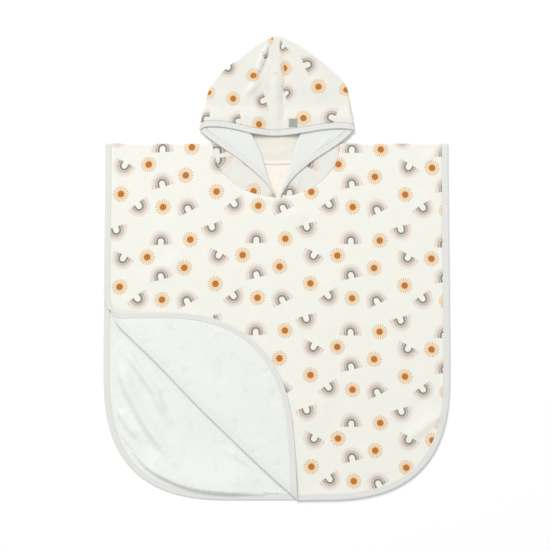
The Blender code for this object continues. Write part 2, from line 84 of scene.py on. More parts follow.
# Height of the middle of each layer, from the floor up
BACK_LEVEL = 0.001
FRONT_LEVEL = 0.0043
TURNED_LEVEL = 0.0073
CROWN_LEVEL = 0.0103
CROWN_SAG_LEVEL = 0.0056
SAG_HALF = 0.008
SAG_SLOPE = 0.032
OVER_TOP = 0.044
OVER_SLOPE = 0.026

# Body. SHOULDER_SHORT keeps the two shoulder edges just apart
SHOULDER_Y = 0.2186
SHOULDER_SHORT = 0.2 * SEAM_GAP
HALF_SHOULDER = 0.2995
HALF_WIDEST = 0.3026
BODY_LENGTH = 0.6226
CORNER_START = 0.3957
CORNER_INNER = 0.0718
CORNER_POWER = 2.7
CORNER_RUN = 1.2
HALF_NECK = 0.1115
FRONT_NECK_DROP = 0.093
BACK_NECK_DROP = 0.036
CLOTH_INSET = 0.0093

# The front corner that is turned up: its fold line, which runs down to the right
FOLD_POINT = Vector((-0.2748, -0.3194))
FOLD_ANGLE = math.radians(-43.98)
FOLD_RADIUS = 0.0025
FLAP_LIFT = 0.003
FLAP_SETTLE = 0.06
FLAP_CALM = 0.012
FOLD_SWELL = 0.0018
SWELL_REACH = 0.01
FLAP_PULL = 0.985
FLAP_DRAW = 0.52
BARE_START = 0.005
BARE_RISE = 0.014
EDGE_CALM = 0.015
FOLD_BOW = 0.0045
BOW_PLACE = 0.275
BOW_LONG = 0.145
BOW_REACH = 0.03
TUCK_POINT = Vector((-0.298, -0.297))
TUCK_REACH = 0.0165
TUCK_MOVE = Vector((0.0078, 0.007))

# Hood, as plan points: the crown's outline from face corner to tip, on each side
CROWN_LEFT = (
    (-0.1365, 0.024), (-0.1286, 0.057), (-0.1155, 0.099), (-0.0914, 0.129), (-0.028, 0.177), (0.0, 0.188),
)
CROWN_RIGHT = (
    (0.137, 0.024), (0.131, 0.057), (0.1208, 0.1027), (0.09, 0.1356), (0.0464, 0.1689), (0.012, 0.1875),
)
FOREHEAD = (
    (-0.1365, 0.024), (-0.1225, 0.029), (-0.096, 0.0289), (-0.063, 0.0229), (-0.041, 0.0175),
    (0.0, 0.0138), (0.0464, 0.0186), (0.0788, 0.024), (0.112, 0.0262), (0.137, 0.024),
)
TURNED_LEFT = (
    (-0.004, -0.0893), (-0.0217, -0.0646), (-0.0618, -0.0296), (-0.1038, -0.0007), (-0.1365, 0.024),
)
TURNED_RIGHT = (
    (0.0085, -0.0893), (0.0263, -0.0627), (0.0583, -0.0336), (0.1062, -0.0016), (0.137, 0.024),
)
ROLL_LEFT = (
    (-0.0022, -0.087), (-0.014, -0.0604), (-0.0217, -0.0347), (-0.0298, -0.0107), (-0.0438, 0.0173),
    (-0.052, 0.038),
)
ROLL_RIGHT = (
    (0.0068, -0.087), (0.0203, -0.0506), (0.0252, -0.0347), (0.0303, -0.0107), (0.04, 0.0144),
    (0.05, 0.038),
)
SIDE_POINTS = ((0.11, 0.0065), (0.1165, 0.0125), (0.129, 0.0325))
FACE_WIDE = 0.0095
BOUND_WIDE = 0.009
TURNED_NARROW = 0.0025
BOUND_LEAST = 0.0015
LAPEL_LEAST = 0.001
CORNER_CLEAR = {-1: 0.0052, 1: 0.0012}
CORNER_EASE = 0.014
TURNED_START = 6
SEAM_UNDER = 0.0007
SEAM_DROP = 0.0002
HOOD_CLOSE = 1e-6

# Neck tape, whose edges are turned under, and label
TAPE_WIDE = 0.007
TAPE_WALL = 0.00026
TAPE_RISE = 0.003
TAPE_END = 0.07
TAPE_LEVEL = BACK_LEVEL + WALL / 2 + 0.00055
TAPE_HALF = 0.00022
TAPE_SWELL = 0.00024
TAPE_ROUND = 0.0004
TAPE_UNDER = 0.0022
TAPE_STITCH_LEVEL = TAPE_LEVEL + 0.0004
TAPE_STITCH_ROWS = (-0.0024, 0.0024)
LABEL_SIZE = (0.0151, 0.0146)
LABEL_CORNER = (0.0214, 0.0288)
LABEL_WALL = 0.0006
LABEL_LEVEL = WALL / 2 + LABEL_WALL / 2 + 0.0004
LABEL_EDGE = 0.00018
LABEL_STITCH_LEVEL = WALL / 2 + LABEL_WALL + 0.00048
LABEL_STITCH_ROWS = (0.08, 0.92)
LABEL_STITCHES = 6

# Rows and columns of the grids
SHOULDER_BENDS = (0.0, 0.3, 0.6, 0.92)
CURVE_STEPS = 24
NORMAL_STEP = 0.0004
OUTLINE_STEPS = 1200
CUT_NEAR = 0.00005
BODY_COLUMNS = 150
BODY_ROWS = 165
WRAP_STATIONS = 560
FOLD_STEPS = 12
TURN_STEPS = 8
CROWN_COLUMNS = 132
CROWN_ROWS = 70
BACK_LOW_ROWS = 16
SIDE_ROWS = 15
SCOOP_ROWS = 60
TURNED_ROWS = SIDE_ROWS + SCOOP_ROWS
BOUND_ROWS = 20
TURNED_COLUMNS = 18
SEAT_COLUMNS = 22
TAPE_STATIONS = 120
LABEL_GRID = 14

# Soft folds and creases: name, path in plan, height, and the width on the left and on the right of the path. A fold
# keeps the share FOLD_END of its height at its ends, rises over one part in FOLD_FADE of its length, and adds nothing
# farther away than FOLD_FAR widths
FOLD_END = 0.25
FOLD_FAR = 2.6
FOLD_POINTS = 14
FOLD_FADE = 4
CROWN_FOLDS = (
    ("centre band", ((-0.0018, 0.1295), (-0.0022, 0.084), (0.0005, 0.03)), 0.0033, 0.007, 0.007),
    ("valley beside the band",
     ((0.009, 0.164), (0.0119, 0.1481), (0.0156, 0.1181), (0.0131, 0.0788), (0.016, 0.058), (0.0119, 0.043)),
     -0.0042, 0.003, 0.005),
    ("pleat from the tip",
     ((-0.015, 0.177), (-0.0193, 0.1649), (-0.0254, 0.1505), (-0.0301, 0.1397), (-0.0397, 0.1036),
      (-0.0506, 0.0905), (-0.0541, 0.0774)), 0.0048, 0.0085, 0.0034),
    ("notch in the pleat", ((-0.0125, 0.17), (-0.014, 0.162), (-0.0151, 0.1552), (-0.0175, 0.1446)),
     -0.0045, 0.0022, 0.0026),
    ("valley right of the pleat", ((-0.0184, 0.1435), (-0.0254, 0.1253), (-0.0341, 0.112), (-0.0422, 0.0964)),
     -0.0018, 0.003, 0.005),
    ("streak beside the band", ((-0.0145, 0.112), (-0.0145, 0.091), (-0.0074, 0.063), (-0.0012, 0.0403)),
     -0.0021, 0.0045, 0.003),
    ("right cheek", ((0.06, 0.12), (0.082, 0.078)), 0.0018, 0.016, 0.016),
    ("left cheek", ((-0.1, 0.096), (-0.088, 0.055)), 0.0015, 0.014, 0.018),
)
FRONT_FOLDS = (
    ("low right", ((0.288, -0.47), (0.262, -0.492), (0.225, -0.52)), 0.0032, 0.008, 0.013),
    ("under low right", ((0.262, -0.44), (0.24, -0.468)), -0.0008, 0.009, 0.009),
    ("below the corner", ((-0.165, -0.19), (-0.205, -0.235)), 0.0022, 0.014, 0.014),
    ("right shoulder", ((0.276, -0.014), (0.262, -0.03)), 0.0018, 0.006, 0.008),
    ("below the neck", ((0.024, -0.112), (0.05, -0.138)), 0.002, 0.012, 0.015),
    ("low middle", ((0.15, -0.52), (0.175, -0.59)), 0.002, 0.016, 0.016),
    ("left breast", ((-0.215, -0.12), (-0.15, -0.21), (-0.095, -0.29)), 0.0012, 0.03, 0.024),
    ("right of the middle", ((0.06, -0.23), (0.11, -0.33)), 0.001, 0.03, 0.03),
    ("beside the flap", ((0.07, -0.33), (0.085, -0.43), (0.06, -0.52)), 0.0014, 0.016, 0.026),
)
BACK_FOLDS = (
    ("beside the fold",
     ((-0.2669, -0.3518), (-0.2521, -0.378), (-0.2319, -0.406), (-0.2126, -0.4323), (-0.203, -0.455),
      (-0.1881, -0.483)), 0.0072, 0.006, 0.008),
    ("between",
     ((-0.2791, -0.3693), (-0.2695, -0.3955), (-0.2608, -0.4253), (-0.2468, -0.4533), (-0.2301, -0.4848),
      (-0.2074, -0.518), (-0.1811, -0.553)), 0.01, 0.0125, 0.0085),
    ("along the side", ((-0.2774, -0.462), (-0.2651, -0.483), (-0.2529, -0.5005), (-0.2406, -0.5145)),
     0.005, 0.008, 0.006),
    ("over the hem",
     ((-0.2476, -0.539), (-0.2354, -0.553), (-0.2214, -0.567), (-0.2091, -0.5745), (-0.1881, -0.585),
      (-0.1671, -0.5938), (-0.133, -0.6024), (-0.0901, -0.6067), (-0.0254, -0.6102)), 0.0112, 0.042, 0.0044),
    ("beside the low fold", ((-0.0901, -0.532), (-0.0639, -0.5478), (-0.0376, -0.5635), (-0.0184, -0.5775)),
     0.0031, 0.004, 0.006),
)
FLAP_FOLDS = (
    ("pucker 1", ((-0.2336, -0.3588), (-0.2214, -0.3448)), -0.0016, 0.004, 0.005),
    ("pucker 2", ((-0.1934, -0.3955), (-0.1829, -0.3815)), -0.0016, 0.004, 0.005),
    ("pucker 3", ((-0.1584, -0.4305), (-0.1479, -0.4165)), -0.0016, 0.004, 0.005),
    ("pucker 4", ((-0.0429, -0.5443), (-0.0289, -0.5303)), -0.0016, 0.004, 0.005),
    ("nick", ((-0.1097, -0.3348), (-0.0992, -0.3255)), 0.0016, 0.002, 0.003),
    ("soft 1", ((-0.0971, -0.3728), (-0.0971, -0.4183)), -0.0013, 0.008, 0.008),
    ("soft 2", ((-0.0044, -0.4305), (-0.0079, -0.4585)), -0.0013, 0.007, 0.007),
    ("crease", ((-0.0289, -0.4034), (-0.0114, -0.3938)), -0.001, 0.002, 0.004),
    ("swell", ((-0.17, -0.35), (-0.12, -0.42), (-0.05, -0.49)), 0.0013, 0.024, 0.03),
)
HOOD_BACK_FOLDS = (
    ("above the neck seam", ((-0.03, -0.012), (-0.002, -0.017), (0.022, -0.008)), 0.0012, 0.004, 0.005),
    ("deep in the hood", ((0.004, 0.012), (0.018, -0.002)), 0.0009, 0.005, 0.005),
)
SEAT_FOLDS = (
    ("left of the roll", ((-0.062, 0.006), (-0.056, -0.024)), 0.0009, 0.005, 0.006),
    ("across the left seat", ((-0.086, -0.014), (-0.06, -0.03), (-0.044, -0.024)), 0.001, 0.005, 0.005),
    ("upright on the right", ((0.04, -0.047), (0.0378, -0.078)), 0.0012, 0.0022, 0.003),
)
LAPEL_FOLDS = (
    ("right lapel", ((0.0935, 0.016), (0.0691, -0.0158)), 0.0014, 0.005, 0.003),
    ("left lapel", ((-0.088, 0.018), (-0.07, -0.008)), 0.0006, 0.01, 0.01),
)

# Soft waves over the whole cloth, and the puckers that its bindings draw in it
WAVES = ((0.00032, 0.075), (0.0001, 0.022))
WAVES_START = 0.02
PUCKER_HEIGHT = 0.00022
PUCKER_LENGTH = 0.0115
PUCKER_START = 0.003
PUCKER_REACH = 0.02
PUCKER_VARIES = 0.05
PUCKER_SHARE = 0.6
PUCKER_SHIFT = 1.5
PUCKER_SEED = 7.3
WAVE_SEED = 40
LIFT_FADE = 0.012

# Print: the repeat and its motifs, in millimetres of the cloth's cut. A rainbow also has its turn in degrees
REPEAT = (166.25, 160.3)
SUNS = ((14.8, 154.6), (106.5, 126.3), (5.1, 106.0), (59.3, 76.9), (132.8, 51.8))
RAINBOWS = (
    (130.0, 153.0, 1), (64.3, 125.6, 152), (130.4, 92.7, 14), (91.2, 54.8, -144), (9.5, 48.5, 27), (52.4, 14.6, -163),
)
# How the laid cloth drifts from its cut, to the right and up, in metres: by u, v, u2, uv and v2 over DRIFT_LONG
DRIFT_LONG = 0.3
DRIFT = ((-0.00056, 0.00055, -0.00212, -0.00158, 0.00275), (0.00078, 0.0002, -0.00752, -0.00365, -0.0002))
# The way that the hood's two halves lie on the print: turn in degrees, then the shift in metres
HOOD_LEFT_CUT = (-84.0, -0.0612, 0.0235)
HOOD_RIGHT_CUT = (84.0, -0.0658, 0.0235)
# Cloth that the hood's folds take up. Steps: where a change starts, its reach and how much it adds
VALLEY_TAKE = (0.0115, 0.007, 0.006)
VALLEY_LOW = (0.045, 0.02)
PLEAT_TAKE = (0.116, 0.014, 0.025)
PLEAT_CREST = ((0.1036, -0.0397), (0.1397, -0.0301), (0.1505, -0.0254), (0.1649, -0.0193), (0.185, -0.015))
LEFT_LOW, LEFT_STEPS = -0.004, ((0.08, 0.045, 0.0095), (0.15, 0.04, 0.0055))
RIGHT_LOW, RIGHT_STEPS = -0.002, ((0.0, 0.08, 0.002), (0.08, 0.02, 0.003), (0.145, 0.035, 0.007))
LEFT_DRAWN, LEFT_DRAWN_FROM = 0.12, 0.0725
# Where handling has drawn the hood's cloth a little: a place and the way to the place in the cut that it shows
LEFT_PULLS = (
    (-0.0044, 0.1899, -0.0114, -0.0026), (-0.0044, 0.119, -0.0052, 0.0),
    (-0.084, 0.134, -0.0026, -0.0048), (-0.119, 0.09, 0.0018, 0.0035), (-0.076, 0.079, 0.0013, 0.0004),
    (-0.04, 0.12, -0.0039, 0.0022), (-0.031, 0.034, 0.0, 0.0013), (-0.025, 0.075, 0.0018, 0.0031),
    (-0.123, 0.049, 0.0022, 0.0004), (-0.073, 0.045, 0.0, -0.0031), (-0.018, 0.154, -0.0088, 0.0053),
)
RIGHT_PULLS = (
    (0.009, 0.17, 0.0066, 0.0004), (0.016, 0.134, 0.0, 0.0004), (0.022, 0.092, -0.0013, 0.0031),
    (0.055, 0.137, 0.0004, 0.0022), (0.074, 0.101, -0.0018, 0.0013), (0.121, 0.096, -0.0009, 0.0026),
    (0.047, 0.045, 0.0022, 0.0035), (0.098, 0.047, 0.0022, 0.0018),
)
PULL_REACH, PULL_STILL = 0.03, 0.06
# The way that the cloth in front of the neck lies on the print, on each side
SEAT_CUTS = {-1: (10.5, 0.2285, 0.1221), 1: (27.0, 0.071, 0.1586)}
SEAT_PULLS = {
    -1: ((-0.0604, -0.0333, -0.014, -0.0105), (-0.0411, -0.0814, 0.0, 0.0028), (-0.1041, -0.0298, 0.0058, 0.0026)),
    1: ((0.0936, -0.0499, -0.014, 0.007), (0.0243, -0.087, 0.0, 0.0), (0.055, -0.04, 0.0, 0.0)),
}
# The left side is doubled back on itself at this place, so its print shows once more, mirrored. The right side isn't
SEAT_DOUBLED = {-1: -0.0203, 1: -1.0}

# A sun's layers, in metres from its middle: a halo, petals, dashes and the disc
SUN_RAYS = 18
HALO_BAND, HALO_COVER = (0.0, 0.0088, 0.0008), 0.6
PETAL_BAND, PETAL_SHARE = (0.0052, 0.01), 0.6
DASH_BAND, DASH_SHARE = (0.01, 0.0136, 0.0003), 0.42
DISC_EDGE = (0.0053, 0.0061)
# A rainbow's bands: colour, inner and outer radius and cover. Its legs end softly between the two feet
RAINBOW_BANDS = (
    ("rainbow_dark", 0.0049, 0.0086, 0.92), ("rainbow_middle", 0.0092, 0.0126, 0.8),
    ("rainbow_pale", 0.0132, 0.016, 0.85), ("rainbow_outer", 0.0165, 0.0193, 0.8),
)
RAINBOW_FEET = (-0.0068, -0.0054)
# How many strokes or dots break a band, and their share of it
STROKES, STROKES_LEAST = (36, 0.6), 0.55
DOTS = (44, 0.5)
RAY_EDGE = 0.25
# The unevenness of the ink: scale and reach of its edges, then scale, low, high and least cover of its dry spots
BRUSH_SCALE, BRUSH_REACH = 900.0, 0.0009
DRY_SCALE, DRY_SPOTS = 1500.0, (0.3, 0.55, 0.84, 1.0)

# Stitches
ROUND_THE_BODY = 1.7
STITCH_LONG = 0.0024
STITCH_STEP = 0.0031
STITCH_ROUND = 0.00024
STITCH_SIDES = 6
STITCH_CLOSE = 1e-7
STITCH_OUTER = 1.2
FACE_STITCH_LIFT = 0.0001
STITCH_SHAPE = ((-1, 0), (-0.72, 0.8), (0, 1), (0.72, 0.8), (1, 0))

# A wave texture turns by this many radians to a unit
WAVE_RATE = 20
LABEL_DARK = 0.72

# Stage
VIEW_CENTRE = (-0.0026, -0.0107)
VIEW_WIDE = 0.9625
LENS = 100.0
SENSOR = 36.0
FLOOR_SIZE = 3.0
FLOOR_DROP = 0.0002
LAMP_FAR = 6.0
LAMP_SIZE = 2.8
LAMP_ENERGY = 227
LAMP_SIDE = Vector((-0.38, 0.925, 0))
SKY_LIGHT = 0.6


def srgb(red, green, blue):
    """A colour given from 0 to 255, as Blender's own numbers."""
    parts = [channel / 255 for channel in (red, green, blue)]
    return tuple(part / 12.92 if part < 0.04045 else ((part + 0.055) / 1.055) ** 2.4 for part in parts)


def sizes():
    return bpy.context.scene.poncho_sizes


def colours():
    return bpy.context.scene.poncho_colours


# Plan shapes


def world(x, y, z):
    return Vector((x, y + SHOULDER_Y, z))


def smoothstep(value):
    value = min(1.0, max(0.0, value))
    return value * value * (3 - 2 * value)


def length_of(path):
    return sum((b - a).length for a, b in zip(path, path[1:]))


def evenly(fine, count):
    """count + 1 evenly spaced points along a line of many points."""
    lengths = [0.0]
    for a, b in zip(fine, fine[1:]):
        lengths.append(lengths[-1] + (b - a).length)
    found, k = [], 0
    for n in range(count + 1):
        want = lengths[-1] * n / count
        while k < len(fine) - 2 and lengths[k + 1] < want:
            k += 1
        share = (want - lengths[k]) / max(lengths[k + 1] - lengths[k], 1e-9)
        found.append(fine[k].lerp(fine[k + 1], share))
    return found


def spaced(points, count):
    """count + 1 evenly spaced points of a smooth curve that passes through the points."""
    points = [Vector(p) for p in points]
    ends = [2 * points[0] - points[1], *points, 2 * points[-1] - points[-2]]
    fine = []
    for before, start, end, after in zip(ends, ends[1:], ends[2:], ends[3:]):
        for step in range(CURVE_STEPS):
            t = step / CURVE_STEPS
            fine.append(
                0.5 * (2 * start + (end - before) * t + (2 * before - 5 * start + 4 * end - after) * t**2
                       + (3 * start - before - 3 * end + after) * t**3)
            )
    fine.append(points[-1])
    return evenly(fine, count)


def moved_left(path, distance):
    """The path moved to the left of the way it runs, by one distance or by one for each point."""
    distances = distance if hasattr(distance, "__len__") else [distance] * len(path)
    found = []
    for k, point in enumerate(path):
        way = (path[min(k + 1, len(path) - 1)] - path[max(k - 1, 0)]).normalized()
        found.append(point + Vector((-way.y, way.x)) * distances[k])
    return found


def soft(folds):
    """The folds with smooth paths, each with the box that it reaches."""
    found = []
    for _name, path, height, left, right in folds:
        path = spaced(path, FOLD_POINTS)
        reach = FOLD_FAR * max(left, right)
        xs, ys = [p.x for p in path], [p.y for p in path]
        box = (min(xs) - reach, max(xs) + reach, min(ys) - reach, max(ys) + reach)
        found.append((path, height, left, right, box))
    return found


def folds_at(folds, x, y):
    """Height that the soft folds add at a plan point: a ridge or a trough along each path, fading at its ends."""
    total = 0.0
    for path, height, left, right, box in folds:
        if not (box[0] < x < box[1] and box[2] < y < box[3]):
            continue
        nearest, place, side = 1.0, 0.0, 0.0
        for k in range(FOLD_POINTS):
            start, end = path[k], path[k + 1]
            way_x, way_y = end.x - start.x, end.y - start.y
            off_x, off_y = x - start.x, y - start.y
            t = min(1.0, max(0.0, (off_x * way_x + off_y * way_y) / (way_x * way_x + way_y * way_y)))
            distance = math.hypot(off_x - way_x * t, off_y - way_y * t)
            if distance < nearest:
                nearest, place, side = distance, (k + t) / FOLD_POINTS, way_x * off_y - way_y * off_x
        width = left if side > 0 else right
        fade = smoothstep(FOLD_FADE * place) * smoothstep(FOLD_FADE * (1 - place))
        total += height * (FOLD_END + (1 - FOLD_END) * fade) * math.exp(-((nearest / width) ** 2))
    return total


def waves_at(x, y):
    """The slight unevenness of cloth that has been smoothed out by hand."""
    return sum(high * noise.noise(Vector((x / long, y / long, long * WAVE_SEED))) for high, long in WAVES)


def outline(share):
    """Plan point and outward direction of the body's outline, from the left shoulder (0) round the hem (1)."""
    side = -1 if share < 0.5 else 1
    drop = min(share, 1 - share) * 2
    depth = BODY_LENGTH - CORNER_START
    straight, corner, flat = CORNER_START, CORNER_RUN * depth, CORNER_INNER
    run = drop * (straight + corner + flat)
    if run <= straight:
        flare = (HALF_WIDEST - HALF_SHOULDER) * smoothstep(run / straight)
        return Vector((side * (HALF_SHOULDER + flare), -run)), Vector((side, 0))
    if run <= straight + corner:
        angle = (run - straight) / corner * math.pi / 2
        wide, high = HALF_WIDEST - CORNER_INNER, depth
        across, down = math.cos(angle) ** (2 / CORNER_POWER), math.sin(angle) ** (2 / CORNER_POWER)
        way = Vector((side * across ** (CORNER_POWER - 1) / wide, -(down ** (CORNER_POWER - 1)) / high))
        spot = Vector((side * (CORNER_INNER + wide * across), -CORNER_START - high * down))
        return spot, way.normalized()
    left_over = straight + corner + flat - run
    return Vector((side * left_over, -BODY_LENGTH)), Vector((0, -1))


def outline_points(count, inset):
    """Evenly spaced points of the outline, moved in."""
    fine = [outline(n / OUTLINE_STEPS) for n in range(OUTLINE_STEPS + 1)]
    return evenly([spot - way * inset for spot, way in fine], count)


def neckline(share, drop):
    """Plan point of a neckline, from its left end (0) to its right (1)."""
    angle = math.pi * (1 + share)
    return Vector((HALF_NECK * math.cos(angle), drop * math.sin(angle)))


CROWN_CREASES, FRONT_CREASES, BACK_CREASES, FLAP_CREASES, HOOD_BACK_CREASES, SEAT_CREASES, LAPEL_CREASES = [
    soft(folds)
    for folds in (CROWN_FOLDS, FRONT_FOLDS, BACK_FOLDS, FLAP_FOLDS, HOOD_BACK_FOLDS, SEAT_FOLDS, LAPEL_FOLDS)
]
SHOULDER_RADIUS = (FRONT_LEVEL - BACK_LEVEL) / 2
SHOULDER_FLAT = -SHOULDER_RADIUS
SHOULDER_CUT = SHOULDER_FLAT + SHOULDER_RADIUS * math.pi / 2 - SHOULDER_SHORT
FOLD_WAY = Vector((math.cos(FOLD_ANGLE), math.sin(FOLD_ANGLE)))
FOLD_OUT = Vector((math.sin(FOLD_ANGLE), -math.cos(FOLD_ANGLE)))
FOLD_START = FOLD_POINT - FOLD_OUT * FOLD_RADIUS


def front_height(x, y):
    return FRONT_LEVEL + folds_at(FRONT_CREASES, x, y) * smoothstep(-y / EDGE_CALM)


def depth_past_fold(spot):
    """How far a plan point lies outside the fold of the turned-up corner."""
    return (spot - FOLD_POINT).dot(FOLD_OUT)


def back_height(x, y):
    """The back lies flat under the front, and rises in folds where the turned-up corner bares it."""
    bare = smoothstep((depth_past_fold(Vector((x, y))) - BARE_START) / BARE_RISE)
    if bare == 0:
        return BACK_LEVEL
    edge = smoothstep((HALF_WIDEST - BOUND_WIDE - abs(x)) / EDGE_CALM)
    return BACK_LEVEL + folds_at(BACK_CREASES, x, y) * bare * edge


def over_the_shoulder(flat, level, bend):
    """A flat point in place, with its shoulder edge rolled down (bend -1) or up (bend 1)."""
    past = flat.y - SHOULDER_FLAT
    if past <= 0:
        return world(flat.x, flat.y, level(flat.x, flat.y))
    angle = min(past / SHOULDER_RADIUS, math.pi / 2)
    beyond = past - angle * SHOULDER_RADIUS
    z = level(flat.x, SHOULDER_FLAT) + bend * (SHOULDER_RADIUS * (1 - math.cos(angle)) + beyond)
    return world(flat.x, SHOULDER_FLAT + SHOULDER_RADIUS * math.sin(angle), z)


def place_back(flat):
    return over_the_shoulder(flat, back_height, 1)


def fold_bow(spot):
    """How far the fold of the turned-up corner bows out at a plan point, with the cloth beside it."""
    off = spot - FOLD_POINT
    along, across = (off.dot(FOLD_WAY) - BOW_PLACE) / BOW_LONG, off.dot(FOLD_OUT) / BOW_REACH
    return FOLD_OUT * FOLD_BOW * math.exp(-(along**4) - across**2)


def place_front(flat):
    """A point of the front's cut in place: its corner is turned up over the fold line."""
    past = (flat - FOLD_START).dot(FOLD_OUT)
    if past <= 0:
        spot, rise = flat.copy(), 0.0
    else:
        angle = min(past / FOLD_RADIUS, math.pi)
        beyond = max(past - FOLD_RADIUS * math.pi, 0.0)
        beyond = FLAP_PULL * beyond - FLAP_DRAW * beyond**2
        reach = FOLD_RADIUS * math.sin(angle) - beyond
        spot = flat + FOLD_OUT * (reach - past)
        settle = smoothstep(beyond / FLAP_SETTLE)
        rise = FOLD_RADIUS * (1 - math.cos(angle)) * (1 - settle) + FLAP_LIFT * settle
        rise += FOLD_SWELL * smoothstep(beyond / SWELL_REACH) * (1 - settle)
        rise += folds_at(FLAP_CREASES, spot.x, spot.y) * smoothstep(beyond / FLAP_CALM)
    spot += fold_bow(spot)
    spot += TUCK_MOVE * math.exp(-(((spot - TUCK_POINT).length / TUCK_REACH) ** 2))
    placed = over_the_shoulder(spot, front_height, -1)
    placed.z += rise
    return placed


def carried(place, flat):
    """A point (x, y, height) of the flat cut in place, its height taken along the cloth's own normal."""
    spot = flat.to_2d()
    here = place(spot)
    along = place(spot + Vector((NORMAL_STEP, 0))) - here
    across = place(spot + Vector((0, NORMAL_STEP))) - here
    return here + along.cross(across).normalized() * flat.z


# Meshes


def cut_layer(bm):
    """The map that holds each point's place in the flat cut."""
    return bm.loops.layers.uv.get(CUT_MAP) or bm.loops.layers.uv.new(CUT_MAP)


def grid(bm, columns, rows, place, cut=None):
    """A grid of faces whose point (column, row) is at place(column, row), and in the cloth's cut at cut(...).

    It gives each vertex's column and row, and the faces.
    """
    steps = {}
    for vertex in bmesh.ops.create_grid(bm, x_segments=columns, y_segments=rows, size=1)["verts"]:
        steps[vertex] = round((vertex.co.x + 1) / 2 * columns), round((vertex.co.y + 1) / 2 * rows)
        vertex.co = place(*steps[vertex])
    faces = {face for vertex in steps for face in vertex.link_faces}
    if cut is not None:
        cut_map = cut_layer(bm)
        flat = {vertex: cut(*step) for vertex, step in steps.items()}
        for face in faces:
            for loop in face.loops:
                loop[cut_map].uv = flat[loop.vert]
    return steps, faces


def cut_lines(bm, lines):
    """Splits the flat sheet along straight lines, each a point and its normal."""
    for point, normal in lines:
        geometry = [*bm.verts, *bm.edges, *bm.faces]
        bmesh.ops.bisect_plane(bm, geom=geometry, dist=CUT_NEAR, plane_co=point.to_3d(), plane_no=normal.to_3d())


def shoulder_lines():
    run = SHOULDER_CUT - SHOULDER_FLAT
    return [(Vector((0, SHOULDER_FLAT + run * share)), Vector((0, 1))) for share in SHOULDER_BENDS]


def fold_lines():
    run = FOLD_RADIUS * math.pi
    return [(FOLD_START + FOLD_OUT * run * n / FOLD_STEPS, FOLD_OUT) for n in range(FOLD_STEPS + 1)]


def face_up(bm):
    """Makes the faces of a sheet agree, with the highest of them facing up."""
    bmesh.ops.recalc_face_normals(bm, faces=bm.faces)
    highest = max(bm.faces, key=lambda face: face.calc_center_median().z)
    if highest.normal.z < 0:
        bmesh.ops.reverse_faces(bm, faces=bm.faces)


def new_piece(name, bm, materials, node=None):
    """Puts a mesh in the scene as a piece, in place of its node."""
    mesh = bpy.data.meshes.new(name)
    bm.to_mesh(mesh)
    bm.free()
    for material in materials:
        mesh.materials.append(material)
    mesh.shade_smooth()
    made = bpy.data.objects.new(name, mesh)
    bpy.context.scene.collection.objects.link(made)
    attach(made, "root")
    if node:
        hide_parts(node)
    return made


def add_wall(made, thickness, inner_material=0):
    """Gives a sheet its wall, with another material on the side that its normals point away from."""
    wall = made.modifiers.new("wall", "SOLIDIFY")
    wall.thickness = thickness
    wall.offset = 0
    wall.use_quality_normals = True
    wall.material_offset = inner_material
    return made


def narrow_piece(name, bm, material, node, thickness):
    """A narrow sheet of one cloth with its wall, in place of its node."""
    bmesh.ops.recalc_face_normals(bm, faces=bm.faces)
    return add_wall(new_piece(name, bm, [material], node), thickness)


def patch(bottom, top, left, right):
    """Fills between four plan curves. Gives a function from (column, row) to the plan point."""
    columns, rows = len(bottom) - 1, len(left) - 1

    def at(column, row):
        s, t = column / columns, row / rows
        sides = left[row].lerp(right[row], s)
        ends = bottom[column].lerp(top[column], t)
        low, high = bottom[0].lerp(bottom[-1], s), top[0].lerp(top[-1], s)
        return sides + ends - low.lerp(high, t)

    return at


def edge_finder():
    """A search for the nearest point of the body's outline, which also gives how far along it lies."""
    count = 3 * OUTLINE_STEPS
    points = outline_points(count, 0)
    length = length_of(points)
    tree = kdtree.KDTree(count + 1)
    for k, point in enumerate(points):
        tree.insert(point.to_3d(), k)
    tree.balance()

    def find(flat):
        _spot, k, distance = tree.find(flat.to_3d())
        return distance, length * k / count

    return find


def cloth_rise(find, flat):
    """How far the flat cloth stands off its level: its waves, and its lift and puckers beside the binding."""
    distance, along = find(flat)
    past = distance - WRAP_WIDE
    lift = BINDING_LIFT * (1 - smoothstep(past / LIFT_FADE))
    beside = smoothstep((distance - CLOTH_INSET) / PUCKER_START) * (1 - smoothstep(past / PUCKER_REACH))
    varied = PUCKER_SHARE + PUCKER_SHARE * noise.noise(Vector((along / PUCKER_VARIES, PUCKER_SEED, 0)))
    pucker = PUCKER_HEIGHT * varied * math.sin(math.tau * (along / PUCKER_LENGTH + PUCKER_SHIFT * varied))
    return lift + pucker * beside + waves_at(flat.x, flat.y) * smoothstep(past / WAVES_START)


def drifted(flat):
    """The place in the print that shows at a place of the laid cloth."""
    u, v = flat.x / DRIFT_LONG, flat.y / DRIFT_LONG + 1
    terms = (u, v, u * u, u * v, v * v)
    return flat - Vector([sum(share * term for share, term in zip(row, terms)) for row in DRIFT])


